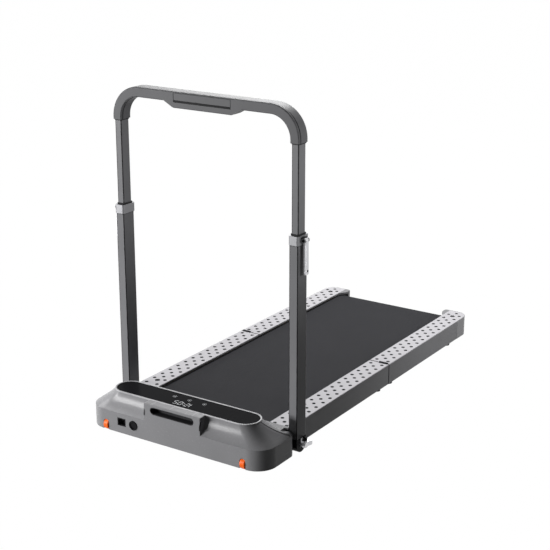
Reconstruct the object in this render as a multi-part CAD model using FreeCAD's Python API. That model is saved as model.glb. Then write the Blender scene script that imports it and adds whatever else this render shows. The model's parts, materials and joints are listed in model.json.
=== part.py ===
import FreeCAD
import Part
import math
import os

# Folding walking pad with a telescopic handrail, all lengths in millimetres.
# X runs across the pad, Y from the motor head (minus) to the tail (plus), Z up from the floor.
# The origin is on the floor, under the middle of the whole part.

Vec = FreeCAD.Vector

# General clearances
overrun = 1.0              # how far a cutting shape passes the face that it opens
slip = 0.2                 # between fixed pieces of one body that are slid together
run_gap = 0.6              # between faces of pieces that move past each other
running_fit = 0.05         # radial play of a pin or shaft in its bore
edge_round = 1.5           # small moulded edge radius

# Deck sizes
front_half_length = 779.0  # fold line to the front face of the head
rear_half_length = 594.0   # fold line to the tail end
belt_clear_width = 440.0   # walking width between the foot strips
strip_width = 72.0
strip_thickness = 3.0
deck_height = 69.0         # underside of the side covers to the top of the strips
foot_height = 14.0
seam_gap = 1.0             # gap between the two halves at the fold

# Side cover section
cover_wall = 3.0
belt_overhang = 1.0        # how far a strip reaches inwards past its cover
web_offset = 20.0          # inner edge of the cover to its supporting web

# Belt, board and frame
belt_thickness = 1.8
belt_drop = 10.0           # top of the strips to the top of the belt
belt_hidden = 2.0          # belt edge hidden under each strip
belt_gap = 0.3             # belt to its rollers
belt_lip_gap = 2.0         # belt to the lip of the side cover above it
board_roller_gap = 12.0    # end of the board to the belt's roller
board_thickness = 18.0
board_side_gap = 4.0
tube_width = 37.0
frame_wall = 2.0
cross_member_width = 30.0
cross_member_height = 20.0
cross_member_shares = (0.2, 0.5, 0.8)

# Rollers
roller_radius = 20.0
roller_wall = 2.5
roller_end_margin = 6.0    # roller longer than the belt, each side
drive_roller_to_front = 124.0
tail_roller_to_end = 48.0
roller_shaft_radius = 8.0
roller_head_thickness = 8.0
axle_radius = 7.0
bearing_length = 50.0
bearing_height = 55.0
bearing_side_gap = 5.0     # outer face of a bearing block in from that of its tube
tension_bolt_radius = 4.0
tension_head_radius = 6.5
tension_head_height = 5.0

# Drive
drive_pulley_radius = 26.0
motor_pulley_radius = 10.0
pulley_width = 12.0
pulley_groove = 1.2
pulley_ribs = 3
drive_belt_thickness = 3.0
drive_belt_gap = 0.3
motor_to_front = 61.0      # motor axis to the front face of the head
motor_radius = 32.0
motor_length = 130.0
motor_axis_height = 56.0
motor_shaft_radius = 6.0
motor_bell_length = 12.0
motor_bell_step = 3.0
flywheel_radius = 34.0
flywheel_width = 14.0
flywheel_gap = 8.0         # motor to the flywheel
flywheel_to_pulley = 32.0
motor_foot_height = 8.0
controller_length = 150.0
controller_depth = 60.0
controller_height = 12.0
controller_offset = 110.0  # centre of the controller from the middle of the pad
controller_to_front = 67.0
fin_thickness = 3.0
fin_height = 22.0
fin_count = 9

# Foot strip dots
dot_diameter = 10.0
dot_depth = 1.2
dot_sides = 8
dot_pitch = 40.7
dot_row_spacing = 20.6
dot_end_margin = 13.0
dot_corner_share = 0.67     # of the tail corner's radius, kept free of dots in the outer row
strip_screw_radius = 9.0
strip_screw_depth = 1.6
strip_screw_to_end = 57.0
strip_screw_to_head = 76.0

# Tail caps
tail_cap_length = 90.0
tail_corner_radius = 40.0
tail_boss_width = 20.0     # how far the cap reaches in over the belt
tail_boss_run = 48.0       # length of the curved flare of its inner edge
tail_boss_round = 9.0
tail_wall = 20.0           # depth of the hollow end wall
tail_rim_drop = 0.5        # rim of the cap below the top of the strip
strip_edge_inset = 3.5     # rim of the tail cap left showing round the strip

# Fold hinge
hinge_axis_rise = 1.0      # hinge axis above the strips
hinge_width = 30.0
hinge_length = 30.0
hinge_barrel_radius = 3.6
hinge_pin_radius = 1.9
hinge_side_inset = 6.0
hinge_knuckle_share = 0.27

# Rubber feet
foot_radius = 14.0
foot_taper = 2.0
foot_inset = 22.0          # deck side to the centre of a foot
foot_end_inset = 40.0

# Motor head
head_overhang = 31.0       # side of the head outside the side of the deck
head_depth = 168.0         # front face to the rear of the cover
head_front_corner = 62.0
head_rear_corner = 28.0
crease_height = 78.0       # top of the upright skirt
head_top = 131.0           # flat seat of the display
head_wall = 3.0
pan_thickness = 3.0
display_side_inset = 64.5  # side of the head to the end of the display
display_half_depth = 46.4
display_to_front = 74.5    # display's middle line to the front face of the head
ring_width = 5.0
ring_height = 3.5
lens_height = 2.8
lens_ledge = 7.0
board_half_length = 90.0
board_half_depth = 26.0
board_height = 6.0
shoulder_height_shares = (0.0, 0.06, 0.17, 0.33, 0.55, 0.79, 1.0)
shoulder_inward_shares = (0.0, 0.15, 0.36, 0.59, 0.80, 0.94, 1.0)  # hollow along the front and the rear
shoulder_end_shares = (0.0, 0.06, 0.18, 0.36, 0.59, 0.82, 1.0)     # nearly straight at the two ends
apron_reach = 14.5         # rear lip of the cover over the ends of the strips
apron_thickness = 1.8
apron_rise = 11.0
belt_guard_gap = 3.0       # belt to the guard under the rear lip

# Carry handle
block_half_width = 101.5
block_top_rise = 2.5       # display seat up to the top of the block
block_round = 2.5
block_root = 10.0          # block carried on behind the display's front edge and below the crease
slot_half_length = 77.5
slot_height = 19.0
slot_middle = 114.5        # height of the slot's middle line
cup_wall = 2.0
cup_depth = 25.0

# Mains inlet and switch on the front face
inlet_to_wheel = 60.0      # middle of the inlet to the middle of the nearer wheel
inlet_width = 31.0
inlet_height = 25.0
inlet_depth = 24.0
inlet_recess = 16.0
inlet_wall = 3.0
inlet_chamfer = 5.0
inlet_pin_length = 11.0
inlet_pin_width = 4.0
inlet_pin_thickness = 2.0
inlet_pin_spacing = 7.0
switch_to_inlet = 45.0
fitting_height = 50.0      # height of the inlet and the switch above the floor
switch_rim_radius = 15.0
switch_rim_height = 2.0
switch_radius = 13.0
switch_bore_radius = 11.3
switch_depth = 26.0
switch_bore_depth = 9.0
rocker_radius = 10.4
rocker_thickness = 6.0
rocker_pin_radius = 1.5
rocker_pin_reach = 1.0     # pivot pin past the bore into the switch's wall
rocker_tilt = 7.0          # degrees from level at rest

# Transport wheels
wheel_side_inset = 73.0    # side of the head to the middle of a wheel
wheel_radius = 19.0
wheel_width = 18.0
wheel_height = 28.5        # wheel axis above the floor
wheel_proud = 4.0          # wheel in front of the head's face
wheel_round = 3.0
wheel_axle_radius = 3.0
wheel_slot_gap = 1.5
wheel_slot_height = 46.0
wheel_ear_thickness = 5.0
wheel_ear_radius = 9.0

# Handrail posts
post_offset = 18.0         # side of the deck to the middle of a post
post_to_front = 194.5      # front face of the head to the middle of a post
lower_width = 28.0
lower_depth = 50.0
lower_wall = 1.6
lower_round = 4.0
lower_top = 655.0
upper_width = 22.0
upper_depth = 36.0
upper_wall = 1.5
upper_round = 3.0
upper_overlap = 130.0      # upper tube inside the lower one when raised
slide_gap = 0.4
slide_bush_length = 30.0
pivot_height = 36.0
pivot_radius = 6.0
pivot_head_radius = 10.0
pivot_head_height = 5.0
pivot_plug_height = 46.0
boss_radius = 14.0         # boss of the side cover that the post turns against

# Post clamps
collar_wall = 2.6
collar_height = 27.0
collar_lap = 14.0          # collar over the lower tube
ear_thickness = 4.0
ear_radius = 7.0
clamp_pin_radius = 2.5
lever_width = 12.0
lever_head_radius = 6.5
lever_length = 96.0
lever_thickness = 9.0
lever_lean = 3.0           # tip of the lever further out than its pin
lever_hole_radius = 3.0

# Fold lock levers at the feet of the posts
lock_hub_radius = 10.0
lock_hub_length = 14.0
lock_arm_length = 26.0
lock_arm_thickness = 9.0
lock_arm_height = 14.0
lock_arm_flare = 6.0       # tip of the arm further out than its hub
lock_nut_radius = 8.0
lock_nut_height = 4.0

# Handlebar
handrail_height = 1030.0
bar_thickness = 30.0
bar_depth = 46.0
bar_corner = 95.0          # outer corner radius
sleeve_end = 927.0         # lower ends of the handlebar covers
bar_edge = 4.0
shell_split = 9.0          # front face of the bar to the seam of its covers
split_groove = 0.4
keel_depth = 18.0
keel_top_half = 133.0
keel_bottom_half = 100.0
rest_half_width = 98.5
rest_height = 21.0
rest_thickness = 3.0
rest_top_inset = 4.0       # top of the bar to the top of the rest
rest_pin_radius = 0.8
rest_pin_grip = 6.0        # pivot stubs past the rest into the cover
grip_slot_height = 3.0     # finger gap under the rest

# Places worked out from the sizes above
fold_y = (front_half_length + wheel_proud - rear_half_length) / 2
head_front = fold_y - front_half_length
head_rear = head_front + head_depth
head_rear_to_fold = fold_y - head_rear
tail_end = fold_y + rear_half_length
deck_half = belt_clear_width / 2 + strip_width
head_half_width = deck_half + head_overhang
display_half_length = head_half_width - display_side_inset
wheel_x = head_half_width - wheel_side_inset
inlet_x = inlet_to_wheel - wheel_x
switch_x = inlet_x + switch_to_inlet
post_x = deck_half + post_offset
deck_base = foot_height
strip_top = deck_base + deck_height
strip_base = strip_top - strip_thickness
flange_base = strip_base - cover_wall
tube_base = deck_base + cover_wall
belt_top = strip_top - belt_drop
board_top = belt_top - belt_thickness
board_base = board_top - board_thickness
tube_top = board_base
tube_outer = deck_half - cover_wall
tube_inner = tube_outer - tube_width
belt_half = belt_clear_width / 2 + belt_hidden
drive_roller_y = head_front + drive_roller_to_front
tail_roller_y = tail_end - tail_roller_to_end
hinge_height = strip_top + hinge_axis_rise
hinge_outer = deck_half - hinge_side_inset
hinge_inner = hinge_outer - hinge_width
post_y = head_front + post_to_front
motor_y = head_front + motor_to_front
display_y = head_front + display_to_front
wheel_y = head_front + wheel_radius - wheel_proud
apron_end = head_rear + apron_reach
bearing_rear = drive_roller_y + bearing_length / 2
lower_outer = post_x + lower_width / 2
lower_inner = post_x - lower_width / 2
collar_base = lower_top - collar_lap
collar_top = collar_base + collar_height
collar_outer = lower_outer + collar_wall
clamp_pin_x = collar_outer + lever_head_radius + run_gap
clamp_pin_z = (collar_base + collar_top) / 2
bar_front = post_y - bar_depth / 2
bar_outer = post_x + bar_thickness / 2
bar_base = handrail_height - bar_thickness
SIDES = (("left", -1), ("right", 1))
NODES = {}


# Shape helpers
def box(x0, x1, y0, y1, z0, z1):
    """Box between two corners, given in any order."""
    low = Vec(min(x0, x1), min(y0, y1), min(z0, z1))
    return Part.makeBox(abs(x1 - x0), abs(y1 - y0), abs(z1 - z0), low)


def rod_x(radius, x0, x1, y, z):
    """Round bar along X."""
    return Part.makeCylinder(radius, abs(x1 - x0), Vec(min(x0, x1), y, z), Vec(1, 0, 0))


def rod_y(radius, y0, y1, x, z):
    """Round bar along Y."""
    return Part.makeCylinder(radius, abs(y1 - y0), Vec(x, min(y0, y1), z), Vec(0, 1, 0))


def rod_z(radius, z0, z1, x, y):
    """Round bar along Z."""
    return Part.makeCylinder(radius, abs(z1 - z0), Vec(x, y, min(z0, z1)), Vec(0, 0, 1))


def prism(points, along):
    """Solid swept from a closed outline of points."""
    return Part.Face(Part.makePolygon(points + points[:1])).extrude(along)


def join(*solids):
    """One solid from pieces that meet."""
    return solids[0].multiFuse(list(solids[1:])).removeSplitter()


def sided(solid, sign):
    """The right-hand solid itself, or its mirror image for the left."""
    return solid if sign > 0 else solid.mirror(Vec(0, 0, 0), Vec(1, 0, 0))


def pair(solid):
    """Left and right copies of a right-hand solid."""
    return [sided(solid, sign) for _, sign in SIDES]


def keep(name, *solids):
    """Set one node of the part aside for writing."""
    NODES[name] = solids[0] if len(solids) == 1 else Part.makeCompound(list(solids))


def rounded_outline(x0, x1, y0, y1, z, low_radius, high_radius):
    """Closed outline with round corners: low_radius at y0, high_radius at y1."""
    corners = []
    for x, y, radius, turn in ((x0, y0, low_radius, 180), (x1, y0, low_radius, 270),
                               (x1, y1, high_radius, 0), (x0, y1, high_radius, 90)):
        centre = Vec(x + radius if x == x0 else x - radius, y + radius if y == y0 else y - radius, z)
        corners.append(Part.makeCircle(radius, centre, Vec(0, 0, 1), turn, turn + 90))
    edges = []
    for arc, after in zip(corners, corners[1:] + corners[:1]):
        edges += [arc, Part.makeLine(arc.lastVertex().Point, after.firstVertex().Point)]
    return Part.Wire(edges)


def rounded_bar(width, depth, radius, x, y, z0, z1):
    """Upright bar with a rectangular section and round corners."""
    outline = rounded_outline(x - width / 2, x + width / 2, y - depth / 2, y + depth / 2, z0, radius, radius)
    return Part.Face(outline).extrude(Vec(0, 0, z1 - z0))


# Deck pieces, made for a half that runs from the fold towards sign in Y
loop_radius = roller_radius + belt_gap
roller_height = board_top - loop_radius
cover_inner = belt_clear_width / 2 + belt_overhang
web_x = cover_inner + web_offset
board_half = tube_outer - board_side_gap
roller_half = belt_half + roller_end_margin
strip_front = head_rear + slip
cover_tail = tail_end - tail_cap_length
tail_bearing_start = tail_roller_y - bearing_length / 2
tail_bearing_end = tail_roller_y + bearing_length / 2
hinge_gap = hinge_barrel_radius + run_gap


def hinge_room(sign, play, low, high):
    """Space taken by the right-hand hinge block of one half."""
    reach = fold_y + sign * (hinge_length + play)
    return box(hinge_inner - play, hinge_outer + play, fold_y, reach, low, high)


def side_cover(sign, end):
    """Extruded side cover: outer wall, top and bottom flanges, belt lip and supporting web."""
    start = fold_y + sign * seam_gap / 2
    section = [(deck_half, deck_base), (deck_half, strip_base), (cover_inner, strip_base),
               (cover_inner, belt_top + belt_lip_gap), (cover_inner + cover_wall, belt_top + belt_lip_gap),
               (cover_inner + cover_wall, flange_base), (web_x, flange_base), (web_x, board_top),
               (web_x + cover_wall, board_top), (web_x + cover_wall, flange_base),
               (tube_outer, flange_base), (tube_outer, tube_base), (tube_inner, tube_base),
               (tube_inner, deck_base)]
    cover = prism([Vec(x, start, z) for x, z in section], Vec(0, end - start, 0))
    cover = cover.cut(hinge_room(sign, slip, flange_base - overrun, strip_top))
    if sign < 0:
        boss = rod_x(boss_radius, tube_outer, lower_inner - slip, post_y, pivot_height)
        hole = rod_x(pivot_radius + slip, tube_outer - overrun, lower_inner, post_y, pivot_height)
        cover = join(cover, boss).cut(hole)
    return cover


def dot_places(length, screw_distance, outer_limit):
    """Distances from the fold and rows of the staggered dots on one strip."""
    places = []
    for row in (-1, 0, 1):
        step = 0
        while True:
            step += 1
            distance = (step if row == 0 else step - 1 / 2) * dot_pitch
            limit = length - (outer_limit if row == 1 else dot_end_margin)
            if distance > limit:
                break
            if row or abs(distance - screw_distance) > dot_pitch / 2:
                places.append((distance, row))
    return places


def foot_strip(sign, outline, length, screw_distance, outer_limit):
    """Anti-slip strip with its staggered recesses, one screw recess and the hinge notch."""
    strip = Part.Face(outline).extrude(Vec(0, 0, strip_thickness))
    middle = (belt_clear_width + strip_width) / 2
    tools = []
    for distance, row in dot_places(length, screw_distance, outer_limit):
        centre = Vec(middle + row * dot_row_spacing, fold_y + sign * distance, strip_top - dot_depth)
        turns = [2 * math.pi * (k + 1 / 2) / dot_sides for k in range(dot_sides)]
        ring = [centre + Vec(math.cos(a), math.sin(a), 0) * (dot_diameter / 2) for a in turns]
        tools.append(prism(ring, Vec(0, 0, dot_depth + overrun)))
    screw_y = fold_y + sign * screw_distance
    tools.append(rod_z(strip_screw_radius, strip_top - strip_screw_depth, strip_top + overrun,
                       middle, screw_y))
    notch = box(hinge_inner - run_gap, hinge_outer + run_gap, fold_y, fold_y + sign * hinge_gap,
                strip_base - overrun, strip_top + overrun)
    return strip.cut(Part.makeCompound(tools)).cut(notch)


def deck_board(sign, end):
    """Board under the belt, cut away beside the hinge blocks."""
    board = box(-board_half, board_half, fold_y + sign * seam_gap / 2, end, board_base, board_top)
    for room in pair(hinge_room(sign, slip + board_side_gap, board_base - overrun, board_top + overrun)):
        board = board.cut(room)
    return board


def frame_tube(sign, end):
    """Hollow side tube of the frame, right hand."""
    start = fold_y + sign * seam_gap / 2
    tube = box(tube_inner, tube_outer, start, end, tube_base, tube_top)
    bore = box(tube_inner + frame_wall, tube_outer - frame_wall, start - sign * overrun, end + sign * overrun,
               tube_base + frame_wall, tube_top - frame_wall)
    return tube.cut(bore)


def cross_members(sign, end):
    """Hollow members across the frame, under the board."""
    members = []
    for share in cross_member_shares:
        middle = fold_y + (end - fold_y) * share
        low = tube_top - cross_member_height
        outer = box(-tube_inner, tube_inner, middle - cross_member_width / 2, middle + cross_member_width / 2,
                    low, tube_top)
        bore = box(-tube_inner - overrun, tube_inner + overrun, middle - cross_member_width / 2 + frame_wall,
                   middle + cross_member_width / 2 - frame_wall, low + frame_wall, tube_top - frame_wall)
        members.append(outer.cut(bore))
    return members


def belt_span(sign, roller_y):
    """Half of the walking belt: top run, turn round the roller and return run."""
    start = fold_y + sign * seam_gap / 2
    outer = loop_radius + belt_thickness

    def slug(radius, reach, half):
        run = box(-half, half, start - sign * reach, roller_y, roller_height - radius, roller_height + radius)
        return run.fuse(rod_x(radius, -half, half, roller_y, roller_height))

    return slug(outer, 0, belt_half).cut(slug(loop_radius, overrun, belt_half + overrun)).removeSplitter()


def hinge_block(sign):
    """Cast hinge block of one half: two outer knuckles in front, one middle knuckle at the rear."""
    start = fold_y + sign * seam_gap / 2
    end = fold_y + sign * hinge_length
    block = box(hinge_inner, hinge_outer, start, end, tube_top, strip_base)
    split = hinge_width * hinge_knuckle_share
    if sign < 0:
        spans = ((hinge_inner, hinge_inner + split), (hinge_outer - split, hinge_outer))
    else:
        spans = ((hinge_inner + split + slip, hinge_outer - split - slip),)
    pieces = [block]
    for x0, x1 in spans:
        web_end = fold_y + sign * hinge_barrel_radius
        pieces.append(box(x0, x1, start, web_end, strip_base, hinge_height))
        pieces.append(rod_x(hinge_barrel_radius, x0, x1, fold_y, hinge_height))
    bore = rod_x(hinge_pin_radius + running_fit, hinge_inner - overrun, hinge_outer + overrun,
                 fold_y, hinge_height)
    return join(*pieces).cut(bore)


def rubber_foot(y):
    """Round rubber foot under the right-hand side cover, tapered to the floor."""
    centre = Vec(deck_half - foot_inset, y, 0)
    return Part.makeCone(foot_radius - foot_taper, foot_radius, foot_height, centre, Vec(0, 0, 1))


def tail_strip_outline():
    """Plan of the rear strip, with its outer tail corner rounded."""
    inner = belt_clear_width / 2
    end = tail_end - strip_edge_inset
    start = fold_y + seam_gap / 2
    centre = Vec(deck_half - tail_corner_radius, end - tail_corner_radius, strip_base)
    arc = Part.makeCircle(tail_corner_radius, centre, Vec(0, 0, 1), 0, 90)
    corners = [arc.lastVertex().Point, Vec(inner, end, strip_base), Vec(inner, start, strip_base),
               Vec(deck_half, start, strip_base), arc.firstVertex().Point]
    return Part.Wire([arc] + [Part.makeLine(a, b) for a, b in zip(corners, corners[1:])])


def tail_cap():
    """Moulded right-hand tail cap: rounded corner, flared boss over the belt edge, hollow inside."""
    boss_inner = belt_clear_width / 2 - tail_boss_width
    flare_end = tail_end - tail_wall
    flare_start = flare_end - tail_boss_run
    z = deck_base
    outer_arc = Part.makeCircle(tail_corner_radius, Vec(deck_half - tail_corner_radius,
                                tail_end - tail_corner_radius, z), Vec(0, 0, 1), 0, 90)
    boss_arc = Part.makeCircle(tail_boss_round,
                               Vec(boss_inner + tail_boss_round, tail_end - tail_boss_round, z),
                               Vec(0, 0, 1), 90, 180)
    flare = Part.BezierCurve()
    flare_middle = (flare_start + flare_end) / 2
    flare.setPoles([Vec(boss_inner, flare_end, z), Vec(boss_inner, flare_middle, z),
                    Vec(cover_inner, flare_middle, z), Vec(cover_inner, flare_start, z)])
    corners = [Vec(cover_inner, flare_start, z), Vec(cover_inner, cover_tail, z),
               Vec(deck_half, cover_tail, z),
               outer_arc.firstVertex().Point]
    edges = [outer_arc, Part.makeLine(outer_arc.lastVertex().Point, boss_arc.firstVertex().Point), boss_arc,
             Part.makeLine(boss_arc.lastVertex().Point, Vec(boss_inner, flare_end, z)), flare.toShape()]
    edges += [Part.makeLine(a, b) for a, b in zip(corners, corners[1:])]
    cap = Part.Face(Part.Wire(edges)).extrude(Vec(0, 0, deck_height - tail_rim_drop))
    roof = belt_top + belt_lip_gap
    cavity = rounded_outline(boss_inner + cover_wall, tube_outer, cover_tail - tail_cap_length,
                             tail_end - cover_wall, deck_base - overrun, cover_wall,
                             tail_corner_radius - cover_wall)
    cap = cap.cut(Part.Face(cavity).extrude(Vec(0, 0, roof - deck_base + overrun)))
    cap = cap.cut(box(boss_inner - overrun, tube_inner, cover_tail - overrun, flare_end,
                      deck_base - overrun, roof))
    strip_room = Part.Face(tail_strip_outline()).extrude(Vec(0, 0, deck_height))
    bolt_hole = rod_y(tension_head_radius + slip, flare_end, tail_end + overrun, tension_x, roller_height)
    return cap.cut(strip_room).cut(bolt_hole)


def drum(half, radius):
    """Hollow roller tube with solid ends, along X."""
    shell = rod_x(radius, -half, half, 0, 0)
    inner = half - roller_head_thickness
    return shell.cut(rod_x(radius - roller_wall, -inner, inner, 0, 0))


def ribbed_pulley(radius, x0):
    """Pulley with V grooves for a ribbed belt, along X from x0."""
    step = pulley_width / pulley_ribs
    points = [Vec(x0, 0, 0)]
    for rib in range(pulley_ribs):
        left = x0 + rib * step
        points += [Vec(left, 0, radius), Vec(left + step / 2, 0, radius - pulley_groove)]
    points += [Vec(x0 + pulley_width, 0, radius), Vec(x0 + pulley_width, 0, 0)]
    return Part.Face(Part.makePolygon(points + points[:1])).revolve(Vec(0, 0, 0), Vec(1, 0, 0), 360)


def belt_slug(grow, x0, x1):
    """Solid with the outline of a belt round both pulleys, grown by a thickness."""
    big = drive_pulley_radius + grow
    small = motor_pulley_radius + grow
    reach = Vec(0, motor_y - drive_roller_y, motor_axis_height - roller_height)
    tilt = math.atan2(reach.z, reach.y)
    lean = math.acos((big - small) / reach.Length)
    start = Vec(x0, drive_roller_y, roller_height)
    end = start + reach

    def rim(centre, radius, angle):
        return centre + Vec(0, math.cos(angle), math.sin(angle)) * radius

    up, down = tilt + lean, tilt - lean
    far_arc = Part.Arc(rim(end, small, up), rim(end, small, tilt), rim(end, small, down))
    near_arc = Part.Arc(rim(start, big, down), rim(start, big, tilt + math.pi), rim(start, big, up))
    edges = [far_arc.toShape(), Part.makeLine(rim(end, small, down), rim(start, big, down)),
             near_arc.toShape(), Part.makeLine(rim(start, big, up), rim(end, small, up))]
    return Part.Face(Part.Wire(edges)).extrude(Vec(x1 - x0, 0, 0))


# Deck: both halves
tension_x = tube_inner + tube_width / 2
tube_front = bearing_rear
board_front = drive_roller_y + loop_radius + board_roller_gap
board_tail = tail_roller_y - loop_radius - board_roller_gap
front_strip = rounded_outline(belt_clear_width / 2, deck_half, strip_front, fold_y - seam_gap / 2, strip_base,
                              edge_round, edge_round)
HALVES = (("front", -1, strip_front, tube_front, board_front, drive_roller_y, front_strip,
           head_rear_to_fold, head_rear_to_fold - apron_reach - strip_screw_to_head, dot_end_margin),
          ("rear", 1, cover_tail, tail_bearing_start, board_tail, tail_roller_y, tail_strip_outline(),
           rear_half_length, rear_half_length - strip_screw_to_end, tail_corner_radius * dot_corner_share))
pivot_bore = rod_x(pivot_radius + running_fit, tube_inner - overrun, tube_outer + overrun,
                   post_y, pivot_height)
for half, sign, cover_end, tube_end, board_end, roller_y, outline, length, screw_at, outer_limit in HALVES:
    cover = side_cover(sign, cover_end)
    strip = foot_strip(sign, outline, length, screw_at, outer_limit)
    for side, hand in SIDES:
        keep(half + "_side_cover_" + side, sided(cover, hand))
        keep(half + "_foot_strip_" + side, sided(strip, hand))
    tube = frame_tube(sign, tube_end)
    keep(half + "_frame_tubes", *pair(tube.cut(pivot_bore)))
    keep(half + "_cross_members", *cross_members(sign, tube_end))
    keep(half + "_deck_board", deck_board(sign, board_end))
    keep(half + "_belt_span", belt_span(sign, roller_y))
    keep(half + "_hinge_blocks", *pair(hinge_block(sign)))
    near_foot = rubber_foot(fold_y + sign * foot_end_inset)
    far_foot = rubber_foot(cover_end - sign * foot_end_inset)
    keep(half + "_feet", *pair(near_foot), *pair(far_foot))
keep("hinge_pins", *pair(rod_x(hinge_pin_radius, hinge_inner, hinge_outer, fold_y, hinge_height)))
for side, hand in SIDES:
    keep("tail_cap_" + side, sided(tail_cap(), hand))

# Rollers, axle and bearings
bearing_top = tube_base + bearing_height
bearing_outer = tube_outer - bearing_side_gap
shaft_half = bearing_outer
pulley_x = roller_half + roller_end_margin


def bearing_block(roller_y, bore_radius):
    """Block at the end of a frame tube that holds the right end of a roller's shaft."""
    block = box(tube_inner, bearing_outer, roller_y - bearing_length / 2, roller_y + bearing_length / 2,
                tube_base, bearing_top)
    return block.cut(rod_x(bore_radius, tube_inner - overrun, bearing_outer + overrun,
                           roller_y, roller_height))


def set_at(solid, y, z):
    """Solid made on the X axis, moved to its own axis."""
    solid.translate(Vec(0, y, z))
    return solid


drive_roller = join(drum(roller_half, roller_radius),
                    rod_x(roller_shaft_radius, -shaft_half, shaft_half, 0, 0),
                    ribbed_pulley(drive_pulley_radius, pulley_x))
keep("drive_roller", set_at(drive_roller, drive_roller_y, roller_height))
keep("roller_bearings", *pair(bearing_block(drive_roller_y, roller_shaft_radius + running_fit)))
tail_bore = rod_x(axle_radius + running_fit, -roller_half - overrun, roller_half + overrun, 0, 0)
keep("tail_roller", set_at(drum(roller_half, roller_radius).cut(tail_bore), tail_roller_y, roller_height))
keep("tail_axle", rod_x(axle_radius, -shaft_half, shaft_half, tail_roller_y, roller_height))
keep("tail_axle_blocks", *pair(bearing_block(tail_roller_y, axle_radius + running_fit)))
bolt_end = tail_end - cover_wall
tension_bolt = join(rod_y(tension_bolt_radius, tail_bearing_end, bolt_end, tension_x, roller_height),
                    rod_y(tension_head_radius, bolt_end - tension_head_height, bolt_end,
                          tension_x, roller_height))
keep("tension_bolts", *pair(tension_bolt))

# Motor, ribbed belt and controller
pan_top = deck_base + pan_thickness
motor_end = pulley_x - flywheel_to_pulley - flywheel_width - flywheel_gap
motor_start = motor_end - motor_length
shaft_bore = rod_x(motor_shaft_radius + running_fit, motor_start, motor_end + overrun,
                   motor_y, motor_axis_height)
bell_radius = motor_radius - motor_bell_step
can = rod_x(motor_radius, motor_start + motor_bell_length, motor_end - motor_bell_length,
            motor_y, motor_axis_height)
bells = rod_x(bell_radius, motor_start, motor_end, motor_y, motor_axis_height)
saddle_half = motor_radius / 2
saddle = box(motor_start + motor_bell_length, motor_end - motor_bell_length, motor_y - saddle_half,
             motor_y + saddle_half, pan_top, motor_axis_height - motor_radius + motor_foot_height)
keep("drive_motor", join(can, bells, saddle).cut(shaft_bore))
rotor_start = motor_start + motor_bell_length
flywheel_start = motor_end + flywheel_gap
motor_rotor = join(rod_x(motor_shaft_radius, rotor_start, pulley_x + pulley_width, 0, 0),
                   rod_x(flywheel_radius, flywheel_start, flywheel_start + flywheel_width, 0, 0),
                   ribbed_pulley(motor_pulley_radius, pulley_x))
keep("motor_rotor", set_at(motor_rotor, motor_y, motor_axis_height))
belt_outer = belt_slug(drive_belt_gap + drive_belt_thickness, pulley_x, pulley_x + pulley_width)
belt_inner = belt_slug(drive_belt_gap, pulley_x - overrun, pulley_x + pulley_width + overrun)
keep("drive_belt", belt_outer.cut(belt_inner))


def motor_controller():
    """Control box with a row of cooling fins on its lid."""
    x0 = -controller_offset - controller_length / 2
    y0 = head_front + controller_to_front - controller_depth / 2
    lid = pan_top + controller_height
    pieces = [box(x0, x0 + controller_length, y0, y0 + controller_depth, pan_top, lid)]
    step = (controller_length - fin_thickness) / (fin_count - 1)
    for fin in range(fin_count):
        left = x0 + fin * step
        pieces.append(box(left, left + fin_thickness, y0, y0 + controller_depth, lid, lid + fin_height))
    return join(*pieces)


keep("motor_controller", motor_controller())


# Motor head
def shoulder(inset):
    """Upright skirt and the curved shoulder that sweeps from its crease to the display seat."""
    half = head_half_width - inset
    front, rear = head_front + inset, head_rear - inset
    front_corner, rear_corner = head_front_corner - inset, head_rear_corner - inset
    seat_half = display_half_length - inset
    seat_front, seat_rear = display_y - display_half_depth + inset, display_y + display_half_depth - inset
    seat_corner = display_half_depth - inset - slip
    top = head_top - inset
    sections = []
    for rise, inward, end in zip(shoulder_height_shares, shoulder_inward_shares, shoulder_end_shares):
        z = crease_height + (top - crease_height) * rise
        reach = half + (seat_half - half) * end
        sections.append(rounded_outline(-reach, reach, front + (seat_front - front) * inward,
                                        rear + (seat_rear - rear) * inward, z,
                                        front_corner + (seat_corner - front_corner) * end,
                                        rear_corner + (seat_corner - rear_corner) * inward))
    base = deck_base - (overrun if inset else 0)
    outline = rounded_outline(-half, half, front, rear, base, front_corner, rear_corner)
    skirt = Part.Face(outline).extrude(Vec(0, 0, crease_height - base))
    return skirt.fuse(Part.makeLoft(sections, True, False))


def handle_block(inset):
    """Carry-handle block, flush with the skirt in front and with the display ring on top."""
    half = block_half_width - inset
    front = head_front + inset
    ring_edge = display_y - display_half_depth - slip
    back = ring_edge + block_root
    top = head_top + block_top_rise - inset
    low = crease_height - block_root
    points = [Vec(-half, front, low), Vec(-half, back, low), Vec(-half, back, head_top - inset),
              Vec(-half, ring_edge, head_top - inset), Vec(-half, ring_edge, top),
              Vec(-half, front + block_round, top), Vec(-half, front, top - block_round)]
    return prism(points, Vec(half * 2, 0, 0))


def slot_prism(grow, y0, y1):
    """Stadium-shaped bar through the carry slot, along Y."""
    radius = slot_height / 2 + grow
    reach = slot_half_length - slot_height / 2
    middle = box(-reach, reach, y0, y1, slot_middle - radius, slot_middle + radius)
    return join(middle, rod_y(radius, y0, y1, -reach, slot_middle), rod_y(radius, y0, y1, reach, slot_middle))


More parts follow.
